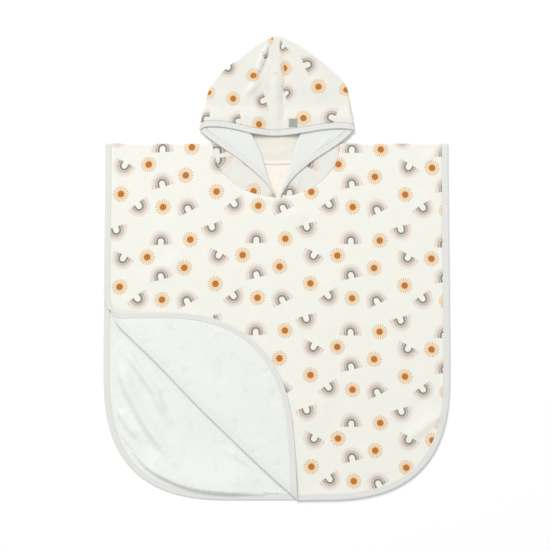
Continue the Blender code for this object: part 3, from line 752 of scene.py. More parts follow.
def body_sheet(name, drop, lines, place, materials, finer=None):
    """The front or the back: a patch from side to side of its flat cut, then put in place."""
    bm = bmesh.new()
    outer = outline_points(2 * BODY_ROWS + BODY_COLUMNS, CLOTH_INSET)
    outer[0].y = outer[-1].y = SHOULDER_CUT
    left, bottom = outer[BODY_ROWS::-1], outer[BODY_ROWS:BODY_ROWS + BODY_COLUMNS + 1]
    right = outer[BODY_ROWS + BODY_COLUMNS:]
    neck = [neckline(n / OUTLINE_STEPS, drop) for n in range(OUTLINE_STEPS + 1)]
    neck[0].y = neck[-1].y = SHOULDER_CUT
    shoulder = neck[0].x - left[-1].x
    beside = round(BODY_COLUMNS * shoulder / (length_of(neck) + 2 * shoulder))
    top = [left[-1].lerp(neck[0], n / beside) for n in range(beside)]
    top += evenly(neck, BODY_COLUMNS - 2 * beside)
    top += [neck[-1].lerp(right[-1], (n + 1) / beside) for n in range(beside)]
    plan = patch(bottom, top, left, right)
    grid(bm, BODY_COLUMNS, BODY_ROWS, lambda column, row: plan(column, row).to_3d())
    if finer:
        edges = {edge for face in bm.faces if finer(face.calc_center_median().to_2d()) for edge in face.edges}
        bmesh.ops.subdivide_edges(bm, edges=list(edges), cuts=1, use_grid_fill=True)
    cut_lines(bm, lines)
    bmesh.ops.triangulate(bm, faces=[f for f in bm.faces if len(f.verts) > 4])
    face_up(bm)
    cut_map = cut_layer(bm)
    for face in bm.faces:
        for loop in face.loops:
            loop[cut_map].uv = drifted(loop.vert.co.to_2d())
    find = edge_finder()
    for vertex in bm.verts:
        flat = vertex.co.to_2d()
        vertex.co = carried(place, Vector((flat.x, flat.y, cloth_rise(find, flat))))
    return add_wall(new_piece(name.replace("panel", "towelling"), bm, materials, name), sizes().wall, 1)


def wrap_section():
    """Points of a wrapped binding's middle, from its lip on top round its edge to its lip below: (inset, height)."""
    upper = [(inset, WRAP_HALF - below) for inset, below in WRAP_TOP]
    for degrees in WRAP_TURN:
        angle = math.radians(degrees)
        upper.append((WRAP_HALF * WRAP_TURN_LONG * (1 - math.cos(angle)), WRAP_HALF * math.sin(angle)))
    return [*upper, (0.0, 0.0), *[(inset, -height) for inset, height in reversed(upper)]]


def body_binding(name, lines, place, material):
    """The binding of the front or the back, a strip that wraps its outline."""
    bm = bmesh.new()
    section = wrap_section()
    edges = {}
    for inset, _height in section:
        edge = outline_points(WRAP_STATIONS, inset)
        edge[0].y = edge[-1].y = SHOULDER_CUT
        edges[inset] = edge
    length = length_of(edges[0.0])
    run = [0.0]
    for a, b in zip(section, section[1:]):
        run.append(run[-1] + math.dist(a, b))

    def at(station, row):
        inset, height = section[row]
        spot = edges[inset][station]
        return Vector((spot.x, spot.y, height))

    grid(bm, WRAP_STATIONS, len(section) - 1, at,
         lambda station, row: (length * station / WRAP_STATIONS, run[row]))
    cut_lines(bm, lines)
    bmesh.ops.recalc_face_normals(bm, faces=bm.faces)
    for vertex in bm.verts:
        flat = vertex.co.copy()
        flat.z += BINDING_LIFT
        vertex.co = carried(place, flat)
    made = add_wall(new_piece(name.replace("binding", "edging"), bm, [material], name), WRAP_WALL)
    return made


def stitch_row(bm, points, normals):
    """Small stitches along a line of points, each lying along it: one long tube that is cut between them."""
    stations, long = len(STITCH_SHAPE), sizes().stitch

    def at(column, side):
        k, part = divmod(column, stations)
        way = (points[k + 2] - points[k]).normalized()
        across = normals[k + 1].cross(way).normalized()
        reach, round_it = STITCH_SHAPE[part]
        angle = math.tau * side / STITCH_SIDES
        off = across * math.cos(angle) + normals[k + 1] * math.sin(angle)
        return points[k + 1] + way * (reach * long / 2) + off * (round_it * STITCH_ROUND)

    steps, faces = grid(bm, (len(points) - 2) * stations - 1, STITCH_SIDES, at)
    between = [face for face in faces if min(steps[vertex][0] for vertex in face.verts) % stations == stations - 1]
    bmesh.ops.delete(bm, geom=between, context="FACES")


def stitches(name, bm, material):
    """Closes the tubes of a piece's stitches and puts them in the scene."""
    bmesh.ops.remove_doubles(bm, verts=bm.verts, dist=STITCH_CLOSE)
    bmesh.ops.recalc_face_normals(bm, faces=bm.faces)
    return new_piece(name, bm, [material])


def body_stitches(name, place, heights, material):
    """The rows of stitches that hold a body binding, on both of its sides."""
    bm = bmesh.new()
    flat = outline_points(round(ROUND_THE_BODY / STITCH_STEP), WRAP_GROOVE)
    for height in heights:
        inner, outer = [
            [carried(place, Vector((spot.x, spot.y, BINDING_LIFT + h))) for spot in flat]
            for h in (height, height * STITCH_OUTER)
        ]
        normals = [(b - a).normalized() for a, b in zip(inner, outer)]
        stitch_row(bm, inner, normals)
    return stitches(name, bm, material)


# Hood


def turned_width(share):
    """Width of the binding up the turned-out edge: it narrows to the centre front, where it is all that turns."""
    return TURNED_NARROW + (BOUND_WIDE - TURNED_NARROW) * min(share * TURNED_ROWS / BOUND_ROWS, 1.0)


def crown_height(x, y):
    """Middle of the hood's top layer: high over the turned-out edges, low between them and towards the tip."""
    beside = smoothstep((abs(x) - SAG_HALF) / SAG_SLOPE)
    below = 1 - smoothstep((y - OVER_TOP) / OVER_SLOPE)
    rise = (CROWN_LEVEL - CROWN_SAG_LEVEL) * beside * below
    return CROWN_SAG_LEVEL + rise + folds_at(CROWN_CREASES, x, y) + waves_at(x, y)


def on_crown(spot, lift=0.0):
    """A plan point in place on the hood's top layer, or a lift above it."""
    return world(spot.x, spot.y, crown_height(spot.x, spot.y) + lift)


def creased(spot, level, creases, share):
    """A plan point in place at a level, with a share of the creases there."""
    return world(spot.x, spot.y, level + folds_at(creases, spot.x, spot.y) * share)


def calm_ends(step, count, start=2, end=3):
    """0 at both ends of a grid's steps, and 1 from so many steps inside them."""
    return smoothstep(step / start) * smoothstep((count - step) / end)


def turned_cut(spot, turn_and_shift):
    degrees, x, y = turn_and_shift
    angle = math.radians(degrees)
    return Vector((
        math.cos(angle) * spot.x - math.sin(angle) * spot.y + x,
        math.sin(angle) * spot.x + math.cos(angle) * spot.y + y,
    ))


def turn(bm, rows, low, high, outward, cut):
    """A half-round turn between two layers, along a row of plan points with the low and high levels of each."""

    def at(row, step):
        angle = math.pi * step / TURN_STEPS
        radius = (high[row] - low[row]) / 2
        spot = rows[row] + outward[row] * radius * math.sin(angle)
        return world(spot.x, spot.y, low[row] + radius * (1 - math.cos(angle)))

    def flat(row, step):
        radius = (high[row] - low[row]) / 2
        return cut(rows[row] + outward[row] * radius * math.pi * (1 - step / TURN_STEPS))

    grid(bm, len(rows) - 1, TURN_STEPS, at, flat)
    return lambda row: [at(row, step) for step in range(TURN_STEPS + 1)]


def outward_of(path, side):
    """Directions across a path that runs up, away from the middle: side is -1 for the left, 1 for the right."""
    return [(a - b) * -side for a, b in zip(moved_left(path, 1.0), path)]


def crown_side(points, side):
    """The edge of the hood's layers, from the top of the face binding to the tip, with its turn's radius inside."""
    start, after = Vector(points[0]), Vector(points[1])
    start = start.lerp(after, (BOUND_WIDE + 2 * SEAM_GAP + CORNER_CLEAR[side]) / (after - start).length)
    edge = spaced([start, *points[1:]], CROWN_ROWS)
    inset = [(crown_height(p.x, p.y) - BACK_LEVEL + WALL) / 2 for p in edge]
    return moved_left(edge, [side * distance for distance in inset])


def side_line(side):
    """The edge of the hood beside the neck, hidden below its turned-out edge up to the corner of the face."""
    low = (HALF_NECK - 2 * SEAM_GAP, WALL / 2 + 4 * SEAM_GAP)
    return spaced([(side * x, y) for x, y in (low, *SIDE_POINTS)], SIDE_ROWS)


def corner_inset():
    return (CROWN_LEVEL - TURNED_LEVEL + 2 * (WRAP_HALF + WRAP_WALL / 2)) / 2


def to_corner(path, side):
    """The path with its last stretch drawn in, so that the binding has room to turn at the corner of the face."""
    corner = path[-1].copy()
    for spot in path:
        spot.x -= side * corner_inset() * (1 - smoothstep((spot - corner).length / CORNER_EASE))
    return path


def brow_line(inset):
    """The edge of the hood above the forehead, from left to right, moved up by an inset."""
    outer = to_corner(to_corner(spaced(FOREHEAD, CROWN_COLUMNS)[::-1], -1)[::-1], 1)
    moved = moved_left(outer, inset)
    for end, points in ((0, CROWN_LEFT), (-1, CROWN_RIGHT)):
        up = (Vector(points[1]) - Vector(points[0])).normalized()
        for k, spot in enumerate(outer):
            share = smoothstep((spot - outer[end]).length / CORNER_EASE)
            way = up.lerp((moved[k] - spot).normalized(), share).normalized() if inset else up
            moved[k] = spot + way * inset
    return moved


def roll_line(side):
    """The roll of the turned-out edge, with its turn's radius inside."""
    roll = spaced(ROLL_LEFT if side < 0 else ROLL_RIGHT, TURNED_ROWS)
    inset = (TURNED_LEVEL - FRONT_LEVEL + WALL) / 2
    return [spot + way * inset for spot, way in zip(roll, outward_of(roll, side))]


def turned_line(side, gap):
    """The turned-out edge from the centre front to the corner of the face, and its binding's inner side."""
    outer = to_corner(spaced(TURNED_LEFT if side < 0 else TURNED_RIGHT, TURNED_ROWS), side)
    roll = roll_line(side)
    widths = []
    for n, spot in enumerate(outer):
        room = min((spot - other).length for other in roll) - LAPEL_LEAST
        widths.append(side * (max(BOUND_LEAST, min(turned_width(n / TURNED_ROWS), room)) + gap))
    return outer, moved_left(outer, widths)


def flat_at(spot, level):
    return world(spot.x, spot.y, level)


def stepped(value, low, steps):
    return low + sum(height * smoothstep((value - start) / reach) for start, reach, height in steps)


def pulled(spot, pulls):
    """The spot moved by the pulls near it."""
    total, moved = PULL_STILL, Vector((0, 0))
    for x, y, right, up in pulls:
        share = math.exp(-((spot - Vector((x, y))).length / PULL_REACH) ** 2)
        total += share
        moved += share * Vector((right, up))
    return spot + moved / total


def left_half(spot):
    """The left half's cut: the pleat takes up some of its cloth, and the rest is drawn in towards the side."""
    spot = pulled(spot, LEFT_PULLS)
    x = spot.x + LEFT_DRAWN * (spot.x + LEFT_DRAWN_FROM)
    for (y, crest), (next_y, next_crest) in zip(PLEAT_CREST, PLEAT_CREST[1:]):
        if y < spot.y <= next_y and spot.x > crest + (next_crest - crest) * (spot.y - y) / (next_y - y):
            x += stepped(spot.y, 0.0, [PLEAT_TAKE])
    return turned_cut(Vector((x, spot.y + stepped(spot.y, LEFT_LOW, LEFT_STEPS))), HOOD_LEFT_CUT)


def right_half(spot):
    """The right half's cut: the valley beside the band takes up some of its cloth."""
    spot = pulled(spot, RIGHT_PULLS)
    start, reach, taken = VALLEY_TAKE
    low, rise = VALLEY_LOW
    x = spot.x - taken * (1 - smoothstep((spot.x - start) / reach)) * smoothstep((spot.y - low) / rise)
    return turned_cut(Vector((x, spot.y + stepped(spot.y, RIGHT_LOW, RIGHT_STEPS))), HOOD_RIGHT_CUT)


def crown(bm, left, right):
    """The top and the bottom of the hood above the face, joined at their sides and at the tip."""
    line = [spot for spot in brow_line(BOUND_WIDE + 2 * SEAM_GAP) if left[0].x < spot.x < right[0].x]
    brow = evenly([left[0], *line, right[0]], CROWN_COLUMNS)
    tip = [left[-1].lerp(right[-1], n / CROWN_COLUMNS) for n in range(CROWN_COLUMNS + 1)]
    plan = patch(brow, tip, left, right)
    middle = CROWN_COLUMNS // 2
    for first, cut in ((0, left_half), (middle, right_half)):
        grid(bm, middle, CROWN_ROWS, lambda column, row, first=first: on_crown(plan(first + column, row)),
             lambda column, row, first=first, cut=cut: cut(plan(first + column, row)))
    grid(bm, CROWN_COLUMNS, CROWN_ROWS,
         lambda column, row: flat_at(plan(column, row), BACK_LEVEL), lambda column, row: -plan(column, row))

    def rim(path, outward, cut):
        return turn(bm, path, [BACK_LEVEL] * len(path), [crown_height(p.x, p.y) for p in path], outward, cut)

    across = rim(tip, [Vector((0, 1))] * len(tip), left_half)
    for path, side, end, cut in ((left, -1, 0, left_half), (right, 1, CROWN_COLUMNS, right_half)):
        pair = (across(end), rim(path, outward_of(path, side), cut)(CROWN_ROWS))
        grid(bm, 1, TURN_STEPS, lambda column, step, pair=pair: pair[column][step],
             lambda column, step, cut=cut, path=path: cut(path[-1]))
    return brow


def hood_back(bm, brow, left, right):
    """The lower part of the hood's back, from the brow's line down to the sides and the seam at the neck."""
    count = CROWN_COLUMNS - 2 * SIDE_ROWS
    seam = moved_left([neckline(n / count, BACK_NECK_DROP) for n in range(count + 1)], -SEAM_UNDER)
    rim = [*reversed(left), *seam[1:-1], *right]

    def plan(column, row):
        return rim[column].lerp(brow[column], row / BACK_LOW_ROWS)

    def at(column, row):
        return creased(plan(column, row), BACK_LEVEL, HOOD_BACK_CREASES, calm_ends(row, BACK_LOW_ROWS))

    grid(bm, CROWN_COLUMNS, BACK_LOW_ROWS, at, lambda column, row: -plan(column, row))


def hood_front(bm, side, edge):
    """One side of the hood in front of the neck: it runs from the side to the roll and turns out and back."""
    inner = turned_line(side, 2 * SEAM_GAP)[1]
    roll = roll_line(side)
    start, end = (1 + side) / 2, math.acos(-roll[0].x / HALF_NECK) / math.pi
    shares = [end + (start - end) * n / SCOOP_ROWS for n in range(SCOOP_ROWS + 1)]
    seam = moved_left([neckline(share, FRONT_NECK_DROP) for share in shares], -side * SEAM_UNDER)
    roll[0] = seam[0]
    rim = [*seam[:-1], *edge]

    def seat_plan(column, row):
        return rim[row].lerp(roll[row], column / SEAT_COLUMNS)

    def seat(column, row):
        under = SEAM_DROP * (1 - smoothstep(column / 2)) if row < SCOOP_ROWS else 0.0
        return creased(seat_plan(column, row), FRONT_LEVEL - under, SEAT_CREASES, calm_ends(column, SEAT_COLUMNS))

    def seat_cut(column, row):
        spot = pulled(seat_plan(column, row), SEAT_PULLS[side])
        doubled = SEAT_DOUBLED[side]
        return turned_cut(Vector((spot.x, doubled + abs(spot.y - doubled))), SEAT_CUTS[side])

    def turned_plan(column, row):
        row += TURNED_START
        return roll[row].lerp(inner[row], column / TURNED_COLUMNS)

    def turned(column, row):
        share = calm_ends(column, TURNED_COLUMNS, 3)
        return creased(turned_plan(column, row), TURNED_LEVEL, LAPEL_CREASES, share)

    grid(bm, SEAT_COLUMNS, TURNED_ROWS, seat, seat_cut)
    grid(bm, TURNED_COLUMNS, TURNED_ROWS - TURNED_START, turned,
         lambda column, row: 2 * roll[row + TURNED_START] - turned_plan(column, row))
    turn_between(bm, roll, FRONT_LEVEL, TURNED_LEVEL, [-way for way in outward_of(roll, side)])
    outward = [Vector((side, 0)), *outward_of(edge, side)[1:]]
    turn_between(bm, edge, BACK_LEVEL, FRONT_LEVEL, outward)


def turn_between(bm, path, low, high, outward):
    turn(bm, path, [low] * len(path), [high] * len(path), outward, lambda spot: spot)


def hood_sheet(materials):
    bm = bmesh.new()
    brow = crown(bm, crown_side(CROWN_LEFT, -1), crown_side(CROWN_RIGHT, 1))
    left, right = side_line(-1), side_line(1)
    hood_back(bm, brow, left, right)
    hood_front(bm, -1, left)
    hood_front(bm, 1, right)
    bmesh.ops.remove_doubles(bm, verts=bm.verts, dist=HOOD_CLOSE)
    face_up(bm)
    return add_wall(new_piece("hood_towelling", bm, materials, "hood"), sizes().wall, 1)


def face_stations():
    """Outer and inner plan points of the face binding with their levels, round the whole face edge."""
    sides = {}
    for side in (-1, 1):
        outer, inner = turned_line(side, 0)
        sides[side] = [(flat_at(a, TURNED_LEVEL), flat_at(b, TURNED_LEVEL)) for a, b in zip(outer, inner)]
    brow = [(on_crown(a), on_crown(b)) for a, b in zip(brow_line(0), brow_line(BOUND_WIDE))]
    corners = {}
    for side, end in ((-1, 0), (1, -1)):
        low, high = sides[side][-1], brow[end]
        corners[side] = []
        for step in range(1, TURN_STEPS):
            angle = math.pi * step / TURN_STEPS
            section = []
            for a, b in zip(low, high):
                radius = (b.z - a.z) / 2
                spot = a.lerp(b, step / TURN_STEPS)
                spot.x += side * radius * math.sin(angle)
                spot.z = a.z + radius * (1 - math.cos(angle))
                section.append(spot)
            corners[side].append(section)
    return [*sides[-1], *corners[-1], *brow, *reversed(corners[1]), *reversed(sides[1])]


def face_frames():
    """Each station of the face binding as its outer point, the way across it and the normal of its cloth."""
    stations = face_stations()
    found = []
    for k, (outer, inner) in enumerate(stations):
        before, after = stations[max(k - 1, 0)], stations[min(k + 1, len(stations) - 1)]
        along = (after[0] + after[1] - before[0] - before[1]).normalized()
        across = inner - outer
        found.append((outer, across, across.cross(along).normalized() * -1))
    return found


def hood_binding(material):
    """The wrapped binding of the face edge: up the left turned-out edge, across the forehead and down the right."""
    section = wrap_section()
    frames = face_frames()
    length = length_of([outer for outer, _across, _normal in frames])
    scale = FACE_WIDE / BOUND_WIDE / WRAP_WIDE

    def at(station, row):
        outer, across, normal = frames[station]
        inset, height = section[row]
        return outer + across * (inset * scale) + normal * height

    bm = bmesh.new()
    grid(bm, len(frames) - 1, len(section) - 1, at,
         lambda station, row: (length * station / len(frames), row * MM))
    made = narrow_piece("face_edging", bm, material, "hood_binding", WRAP_WALL)
    return made


def face_stitches(material):
    frames = face_frames()
    share = WRAP_GROOVE / WRAP_WIDE
    bm = bmesh.new()
    for side in (1, -1):
        lift = side * (WRAP_HALF + FACE_STITCH_LIFT)
        line = [outer + across * share + normal * lift for outer, across, normal in frames]
        count = round(length_of(line) / STITCH_STEP)
        normals = [frames[round(n * (len(frames) - 1) / count)][2] * side for n in range(count + 1)]
        stitch_row(bm, evenly(line, count), normals)
    return stitches("face_stitches", bm, material)


# Small pieces


def tape_section():
    """The tape's middle across its width, with both edges turned under: (across, height)."""
    half = TAPE_WIDE / 2
    upper = [(half - TAPE_ROUND, TAPE_HALF), (half, 0.0), (half - TAPE_ROUND, -TAPE_HALF),
             (half - TAPE_UNDER, -TAPE_HALF)]
    return [*[(-across, height) for across, height in reversed(upper)], (0.0, TAPE_SWELL), *upper]


def tape_middle():
    """The line of the tape, beside the seam at the back of the neck."""
    shares = [TAPE_END + (1 - 2 * TAPE_END) * n / TAPE_STATIONS for n in range(TAPE_STATIONS + 1)]
    return moved_left([neckline(share, BACK_NECK_DROP) for share in shares], TAPE_RISE)


def neck_tape(material):
    """The tape that lies over the seam at the back of the neck."""
    middle, section = tape_middle(), tape_section()
    length = length_of(middle)
    edges = [moved_left(middle, across) for across, _height in section]
    bm = bmesh.new()
    grid(bm, TAPE_STATIONS, len(section) - 1,
         lambda station, row: flat_at(edges[row][station], TAPE_LEVEL + section[row][1]),
         lambda station, row: (length * station / TAPE_STATIONS, section[row][0]))
    made = narrow_piece("tape_cloth", bm, material, "neck_tape", TAPE_WALL)
    return made


def tape_stitches(material):
    bm = bmesh.new()
    for across in TAPE_STITCH_ROWS:
        line = [flat_at(spot, TAPE_STITCH_LEVEL) for spot in moved_left(tape_middle(), across)]
        count = round(length_of(line) / STITCH_STEP)
        stitch_row(bm, evenly(line, count), [Vector((0, 0, 1))] * (count + 1))
    return stitches("neck_stitches", bm, material)


def label_spot(across, up):
    """The plan point at a share of the label's width and height."""
    wide, high = sizes().label
    return Vector((LABEL_CORNER[0] + wide * across, LABEL_CORNER[1] + high * up))


def label(material):
    """A small blank label that follows the hood's top above the face binding."""

    def spot(column, row):
        return label_spot(column / LABEL_GRID, row / LABEL_GRID)

    bm = bmesh.new()
    grid(bm, LABEL_GRID, LABEL_GRID, lambda column, row: on_crown(spot(column, row), LABEL_LEVEL), spot)
    made = narrow_piece("label_cloth", bm, material, "label", LABEL_WALL)
    edge = made.modifiers.new("soft edge", "BEVEL")
    edge.width = LABEL_EDGE
    edge.segments = 2
    edge.limit_method = "ANGLE"
    return made


def label_stitches(material):
    bm, fine = bmesh.new(), 2 * LABEL_STITCHES
    for across in LABEL_STITCH_ROWS:
        line = [on_crown(label_spot(across, n / fine), LABEL_STITCH_LEVEL) for n in range(fine + 1)]
        stitch_row(bm, evenly(line, LABEL_STITCHES), [Vector((0, 0, 1))] * (LABEL_STITCHES + 1))
    return stitches("label_stitches", bm, material)


# Materials


def add(tree, kind, inputs=None, **settings):
    """A node with its settings, whose inputs are values, colours or the sockets that feed them."""
    node = tree.nodes.new("ShaderNode" + kind)
    for name, value in settings.items():
        setattr(node, name, value)
    for key, value in (inputs or {}).items():
        socket = node.inputs[key]
        if isinstance(value, bpy.types.NodeSocket):
            tree.links.new(value, socket)
        else:
            socket.default_value = (*value, 1) if socket.type == "RGBA" else value
    return node


def maths(tree, operation, *values, clamp=False):
    return add(tree, "Math", dict(enumerate(values)), operation=operation, use_clamp=clamp).outputs[0]


def ramp(tree, value, low, high, start=0.0, end=1.0):
    """A smooth change from start to end as the value goes from low to high."""
    return add(
        tree, "MapRange", {"Value": value, "From Min": low, "From Max": high, "To Min": start, "To Max": end},
        interpolation_type="SMOOTHSTEP",
    ).outputs["Result"]


def mix(tree, kind, share, first, second, blend="MIX"):
    """A share of the way from the first to the second, of the kind RGBA or VECTOR."""
    inputs, result = {"RGBA": ((0, 6, 7), 2), "VECTOR": ((0, 4, 5), 1)}[kind]
    made = add(tree, "Mix", dict(zip(inputs, (share, first, second))), data_type=kind, blend_type=blend)
    return made.outputs[result]


def darkened(tree, colour, value):
    """The colour times a value from 0 to 1."""
    grey = add(tree, "CombineXYZ", {0: value, 1: value, 2: value}).outputs[0]
    return mix(tree, "RGBA", 1.0, colour, grey, "MULTIPLY")


def noise_of(tree, vector, scale, detail):
    return add(tree, "TexNoise", {"Vector": vector, "Scale": scale, "Detail": detail}).outputs[0]


def ribs(tree, vector, scale, direction, distortion, detail=1.0):
    """Soft ribs across a direction."""
    return add(tree, "TexWave", {"Vector": vector, "Scale": scale, "Distortion": distortion, "Detail": detail},
               bands_direction=direction).outputs["Fac"]


def nearest_motif(tree, cut, motifs):
    """The place of each point beside its nearest motif, turned upright, and how far away the motif's middle is."""
    half = (REPEAT[0] / 2 * MM, REPEAT[1] / 2 * MM, 1)
    low = tuple(-x for x in half)
    best, best_length = None, None
    for x, y, *turned in motifs:
        offset = add(tree, "VectorMath", {0: cut, 1: (x * MM, y * MM, 0)}, operation="SUBTRACT").outputs[0]
        local = add(tree, "VectorMath", {0: offset, 1: half, 2: low}, operation="WRAP").outputs[0]
        for degrees in turned:
            local = add(tree, "VectorRotate", {"Vector": local, "Angle": math.radians(-degrees)},
                        rotation_type="Z_AXIS").outputs[0]
        length = add(tree, "VectorMath", {0: local}, operation="LENGTH").outputs["Value"]
        if best is None:
            best, best_length = local, length
            continue
        best = mix(tree, "VECTOR", maths(tree, "LESS_THAN", length, best_length), best, local)
        best_length = maths(tree, "MINIMUM", length, best_length)
    return best, best_length


def band(tree, value, low, high, soft_edge=0.0004):
    """1 between low and high, with soft edges."""
    rising = ramp(tree, value, low - soft_edge, low + soft_edge)
    falling = ramp(tree, value, high - soft_edge, high + soft_edge, 1.0, 0.0)
    return maths(tree, "MULTIPLY", rising, falling)


def rays(tree, angle, count, share, turned=0.0):
    """Strokes round a circle: 1 on each stroke and 0 between them."""
    wave = maths(tree, "COSINE", maths(tree, "MULTIPLY_ADD", angle, float(count), turned))
    edge = math.cos(math.pi * share)
    return ramp(tree, wave, edge - RAY_EDGE, edge + RAY_EDGE)


def draw_suns(tree, cut, jitter):
    """Layers of the sun, each with its colour and how much it covers."""
    tint = colours()
    local, length = nearest_motif(tree, cut, SUNS)
    parts = add(tree, "SeparateXYZ", {0: local})
    angle = maths(tree, "ARCTAN2", parts.outputs["Y"], parts.outputs["X"])
    length = maths(tree, "ADD", length, jitter)
    petals, dashes = [
        maths(tree, "MULTIPLY", band(tree, length, *where), rays(tree, angle, SUN_RAYS, share))
        for where, share in ((PETAL_BAND, PETAL_SHARE), (DASH_BAND, DASH_SHARE))
    ]
    return [
        (tint.sun_halo, maths(tree, "MULTIPLY", band(tree, length, *HALO_BAND), HALO_COVER)),
        (tint.sun_halo, petals),
        (tint.sun_ray, dashes),
        (tint.sun_disc, ramp(tree, length, *DISC_EDGE, 1.0, 0.0)),
    ]


def draw_rainbows(tree, cut, jitter):
    """Layers of the rainbow: bands round an arch that stands on two short legs."""
    local, _length = nearest_motif(tree, cut, RAINBOWS)
    parts = add(tree, "SeparateXYZ", {0: local})
    x, y = parts.outputs["X"], parts.outputs["Y"]
    above = maths(tree, "MAXIMUM", y, 0.0)
    reach = maths(tree, "SQRT", maths(tree, "MULTIPLY_ADD", x, x, maths(tree, "MULTIPLY", above, above)))
    reach = maths(tree, "ADD", reach, jitter)
    foot = ramp(tree, maths(tree, "ADD", y, jitter), *RAINBOW_FEET)
    angle = maths(tree, "ARCTAN2", above, x)
    broken = {
        "rainbow_middle": maths(tree, "MAXIMUM", rays(tree, angle, *STROKES), STROKES_LEAST),
        "rainbow_outer": rays(tree, angle, *DOTS),
    }
    found = []
    for colour, low, high, strength in RAINBOW_BANDS:
        cover = maths(tree, "MULTIPLY", band(tree, reach, low, high), foot)
        cover = maths(tree, "MULTIPLY", cover, strength)
        if colour in broken:
            cover = maths(tree, "MULTIPLY", cover, broken[colour])
        found.append((getattr(colours(), colour), cover))
    return found


def print_group():
    """A tossed print of small suns and rainbows: a node group from a place in the cut and the cloth's colour."""
    tree = bpy.data.node_groups.new("tossed print", "ShaderNodeTree")
    tree.interface.new_socket("Cut", in_out="INPUT", socket_type="NodeSocketVector")
    tree.interface.new_socket("Cloth", in_out="INPUT", socket_type="NodeSocketColor")
    tree.interface.new_socket("Printed", in_out="OUTPUT", socket_type="NodeSocketColor")
    start, end = tree.nodes.new("NodeGroupInput"), tree.nodes.new("NodeGroupOutput")
    cut, colour = start.outputs["Cut"], start.outputs["Cloth"]
    jitter = maths(tree, "MULTIPLY_ADD", noise_of(tree, cut, BRUSH_SCALE, 1.0), BRUSH_REACH, -BRUSH_REACH / 2)
    dry = ramp(tree, noise_of(tree, cut, DRY_SCALE, 0.0), *DRY_SPOTS)
    for ink, cover in draw_suns(tree, cut, jitter) + draw_rainbows(tree, cut, jitter):
        colour = mix(tree, "RGBA", maths(tree, "MULTIPLY", cover, dry), colour, tuple(ink))
    tree.links.new(colour, end.inputs["Printed"])
    return tree


def new_material(name, roughness, sheen=0.0):
    """A material with its shader's own even values set on the shader."""
    made = bpy.data.materials.new(name)
    made.use_nodes = True
    shader = made.node_tree.nodes["Principled BSDF"]
    shader.inputs["Roughness"].default_value = roughness
    shader.inputs["Specular IOR Level"].default_value = 0.25
    if sheen:
        shader.inputs["Sheen Weight"].default_value = sheen
        shader.inputs["Sheen Roughness"].default_value = 0.5
    return made, made.node_tree, shader


def cut_of(tree):
    return add(tree, "UVMap", uv_map=CUT_MAP).outputs[0]


def apply_finish(tree, shader, colour, height=None, distance=0.0, strength=1.0):
    """Joins a colour and a fine relief to the shader."""
    tree.links.new(colour, shader.inputs["Base Color"])
    if height:
        bump = add(tree, "Bump", {"Height": height, "Distance": distance, "Strength": strength})
        tree.links.new(bump.outputs[0], shader.inputs["Normal"])


def uneven(tree, vector, colour, scale, amount):
    """The colour with a slight unevenness of its depth."""
    spots = ramp(tree, noise_of(tree, vector, scale, 3.0), 0.3, 0.7)
    return mix(tree, "RGBA", spots, tuple(channel * (1 - amount) for channel in colour), tuple(colour))


def printed(tree, print_tree, cut, cloth):
    return add(tree, "Group", {"Cut": cut, "Cloth": cloth}, node_tree=print_tree).outputs[0]


def printed_outside(print_tree, name, colour):
    """The outside of the towelling: a smooth printed knit."""
    made, tree, shader = new_material(name, roughness=0.88, sheen=0.12)
    cut = cut_of(tree)
    cloth = printed(tree, print_tree, cut, uneven(tree, cut, colour, scale=60.0, amount=0.018))
    knit = maths(tree, "MULTIPLY", ribs(tree, cut, 290.0, "X", 1.2), ribs(tree, cut, 380.0, "Y", 1.0))
    apply_finish(tree, shader, cloth, knit, distance=0.00008)
    return made


def soft_inside(print_tree, name, open_colour, painted_shade_colour, show_through, axis, cool, warm):
    """The inside of the towelling: short soft loops, with the print just showing through.

    Open it keeps its colour, deep inside it takes painted warm shade, between two places on an axis of the object.
    """
    made, tree, shader = new_material(name, roughness=0.96, sheen=0.35)
    cut = cut_of(tree)
    place = add(tree, "SeparateXYZ", {0: add(tree, "TexCoord").outputs["Object"]}).outputs[axis]
    # Share of painted warm shade, by place along the axis: full where the cloth lies deep
    deep = ramp(tree, place, min(cool, warm), max(cool, warm), float(cool > warm), float(cool < warm))
    cloth = mix(tree, "RGBA", deep, tuple(open_colour), tuple(painted_shade_colour))
    cloth = darkened(tree, cloth, ramp(tree, noise_of(tree, cut, 90.0, 3.0), 0.3, 0.7, 0.98, 1.0))
    ink = add(tree, "RGBToBW", {0: printed(tree, print_tree, cut, (1, 1, 1))}).outputs[0]
    cloth = darkened(tree, cloth, ramp(tree, ink, 0.1, 0.7, 1.0 - show_through, 1.0))
    loops = add(tree, "TexVoronoi", {"Vector": cut, "Scale": 720.0, "Smoothness": 0.6}, feature="SMOOTH_F1")
    nap = maths(tree, "SUBTRACT", noise_of(tree, cut, 160.0, 2.0), loops.outputs["Distance"])
    apply_finish(tree, shader, cloth, nap, distance=0.0003, strength=0.6)
    return made


def ribbed(name, colour, pitch, depth, roughness=0.85):
    """A knitted or woven narrow cloth, with ribs across its length."""
    made, tree, shader = new_material(name, roughness, sheen=0.15)
    cut = cut_of(tree)
    scale = math.tau / (WAVE_RATE * pitch)
    across, along = ribs(tree, cut, scale, "X", 0.6), ribs(tree, cut, scale * 0.6, "Y", 0.8)
    relief = maths(tree, "MULTIPLY_ADD", along, 0.4, across)
    apply_finish(tree, shader, uneven(tree, cut, colour, scale=200.0, amount=0.03), relief, depth)
    return made


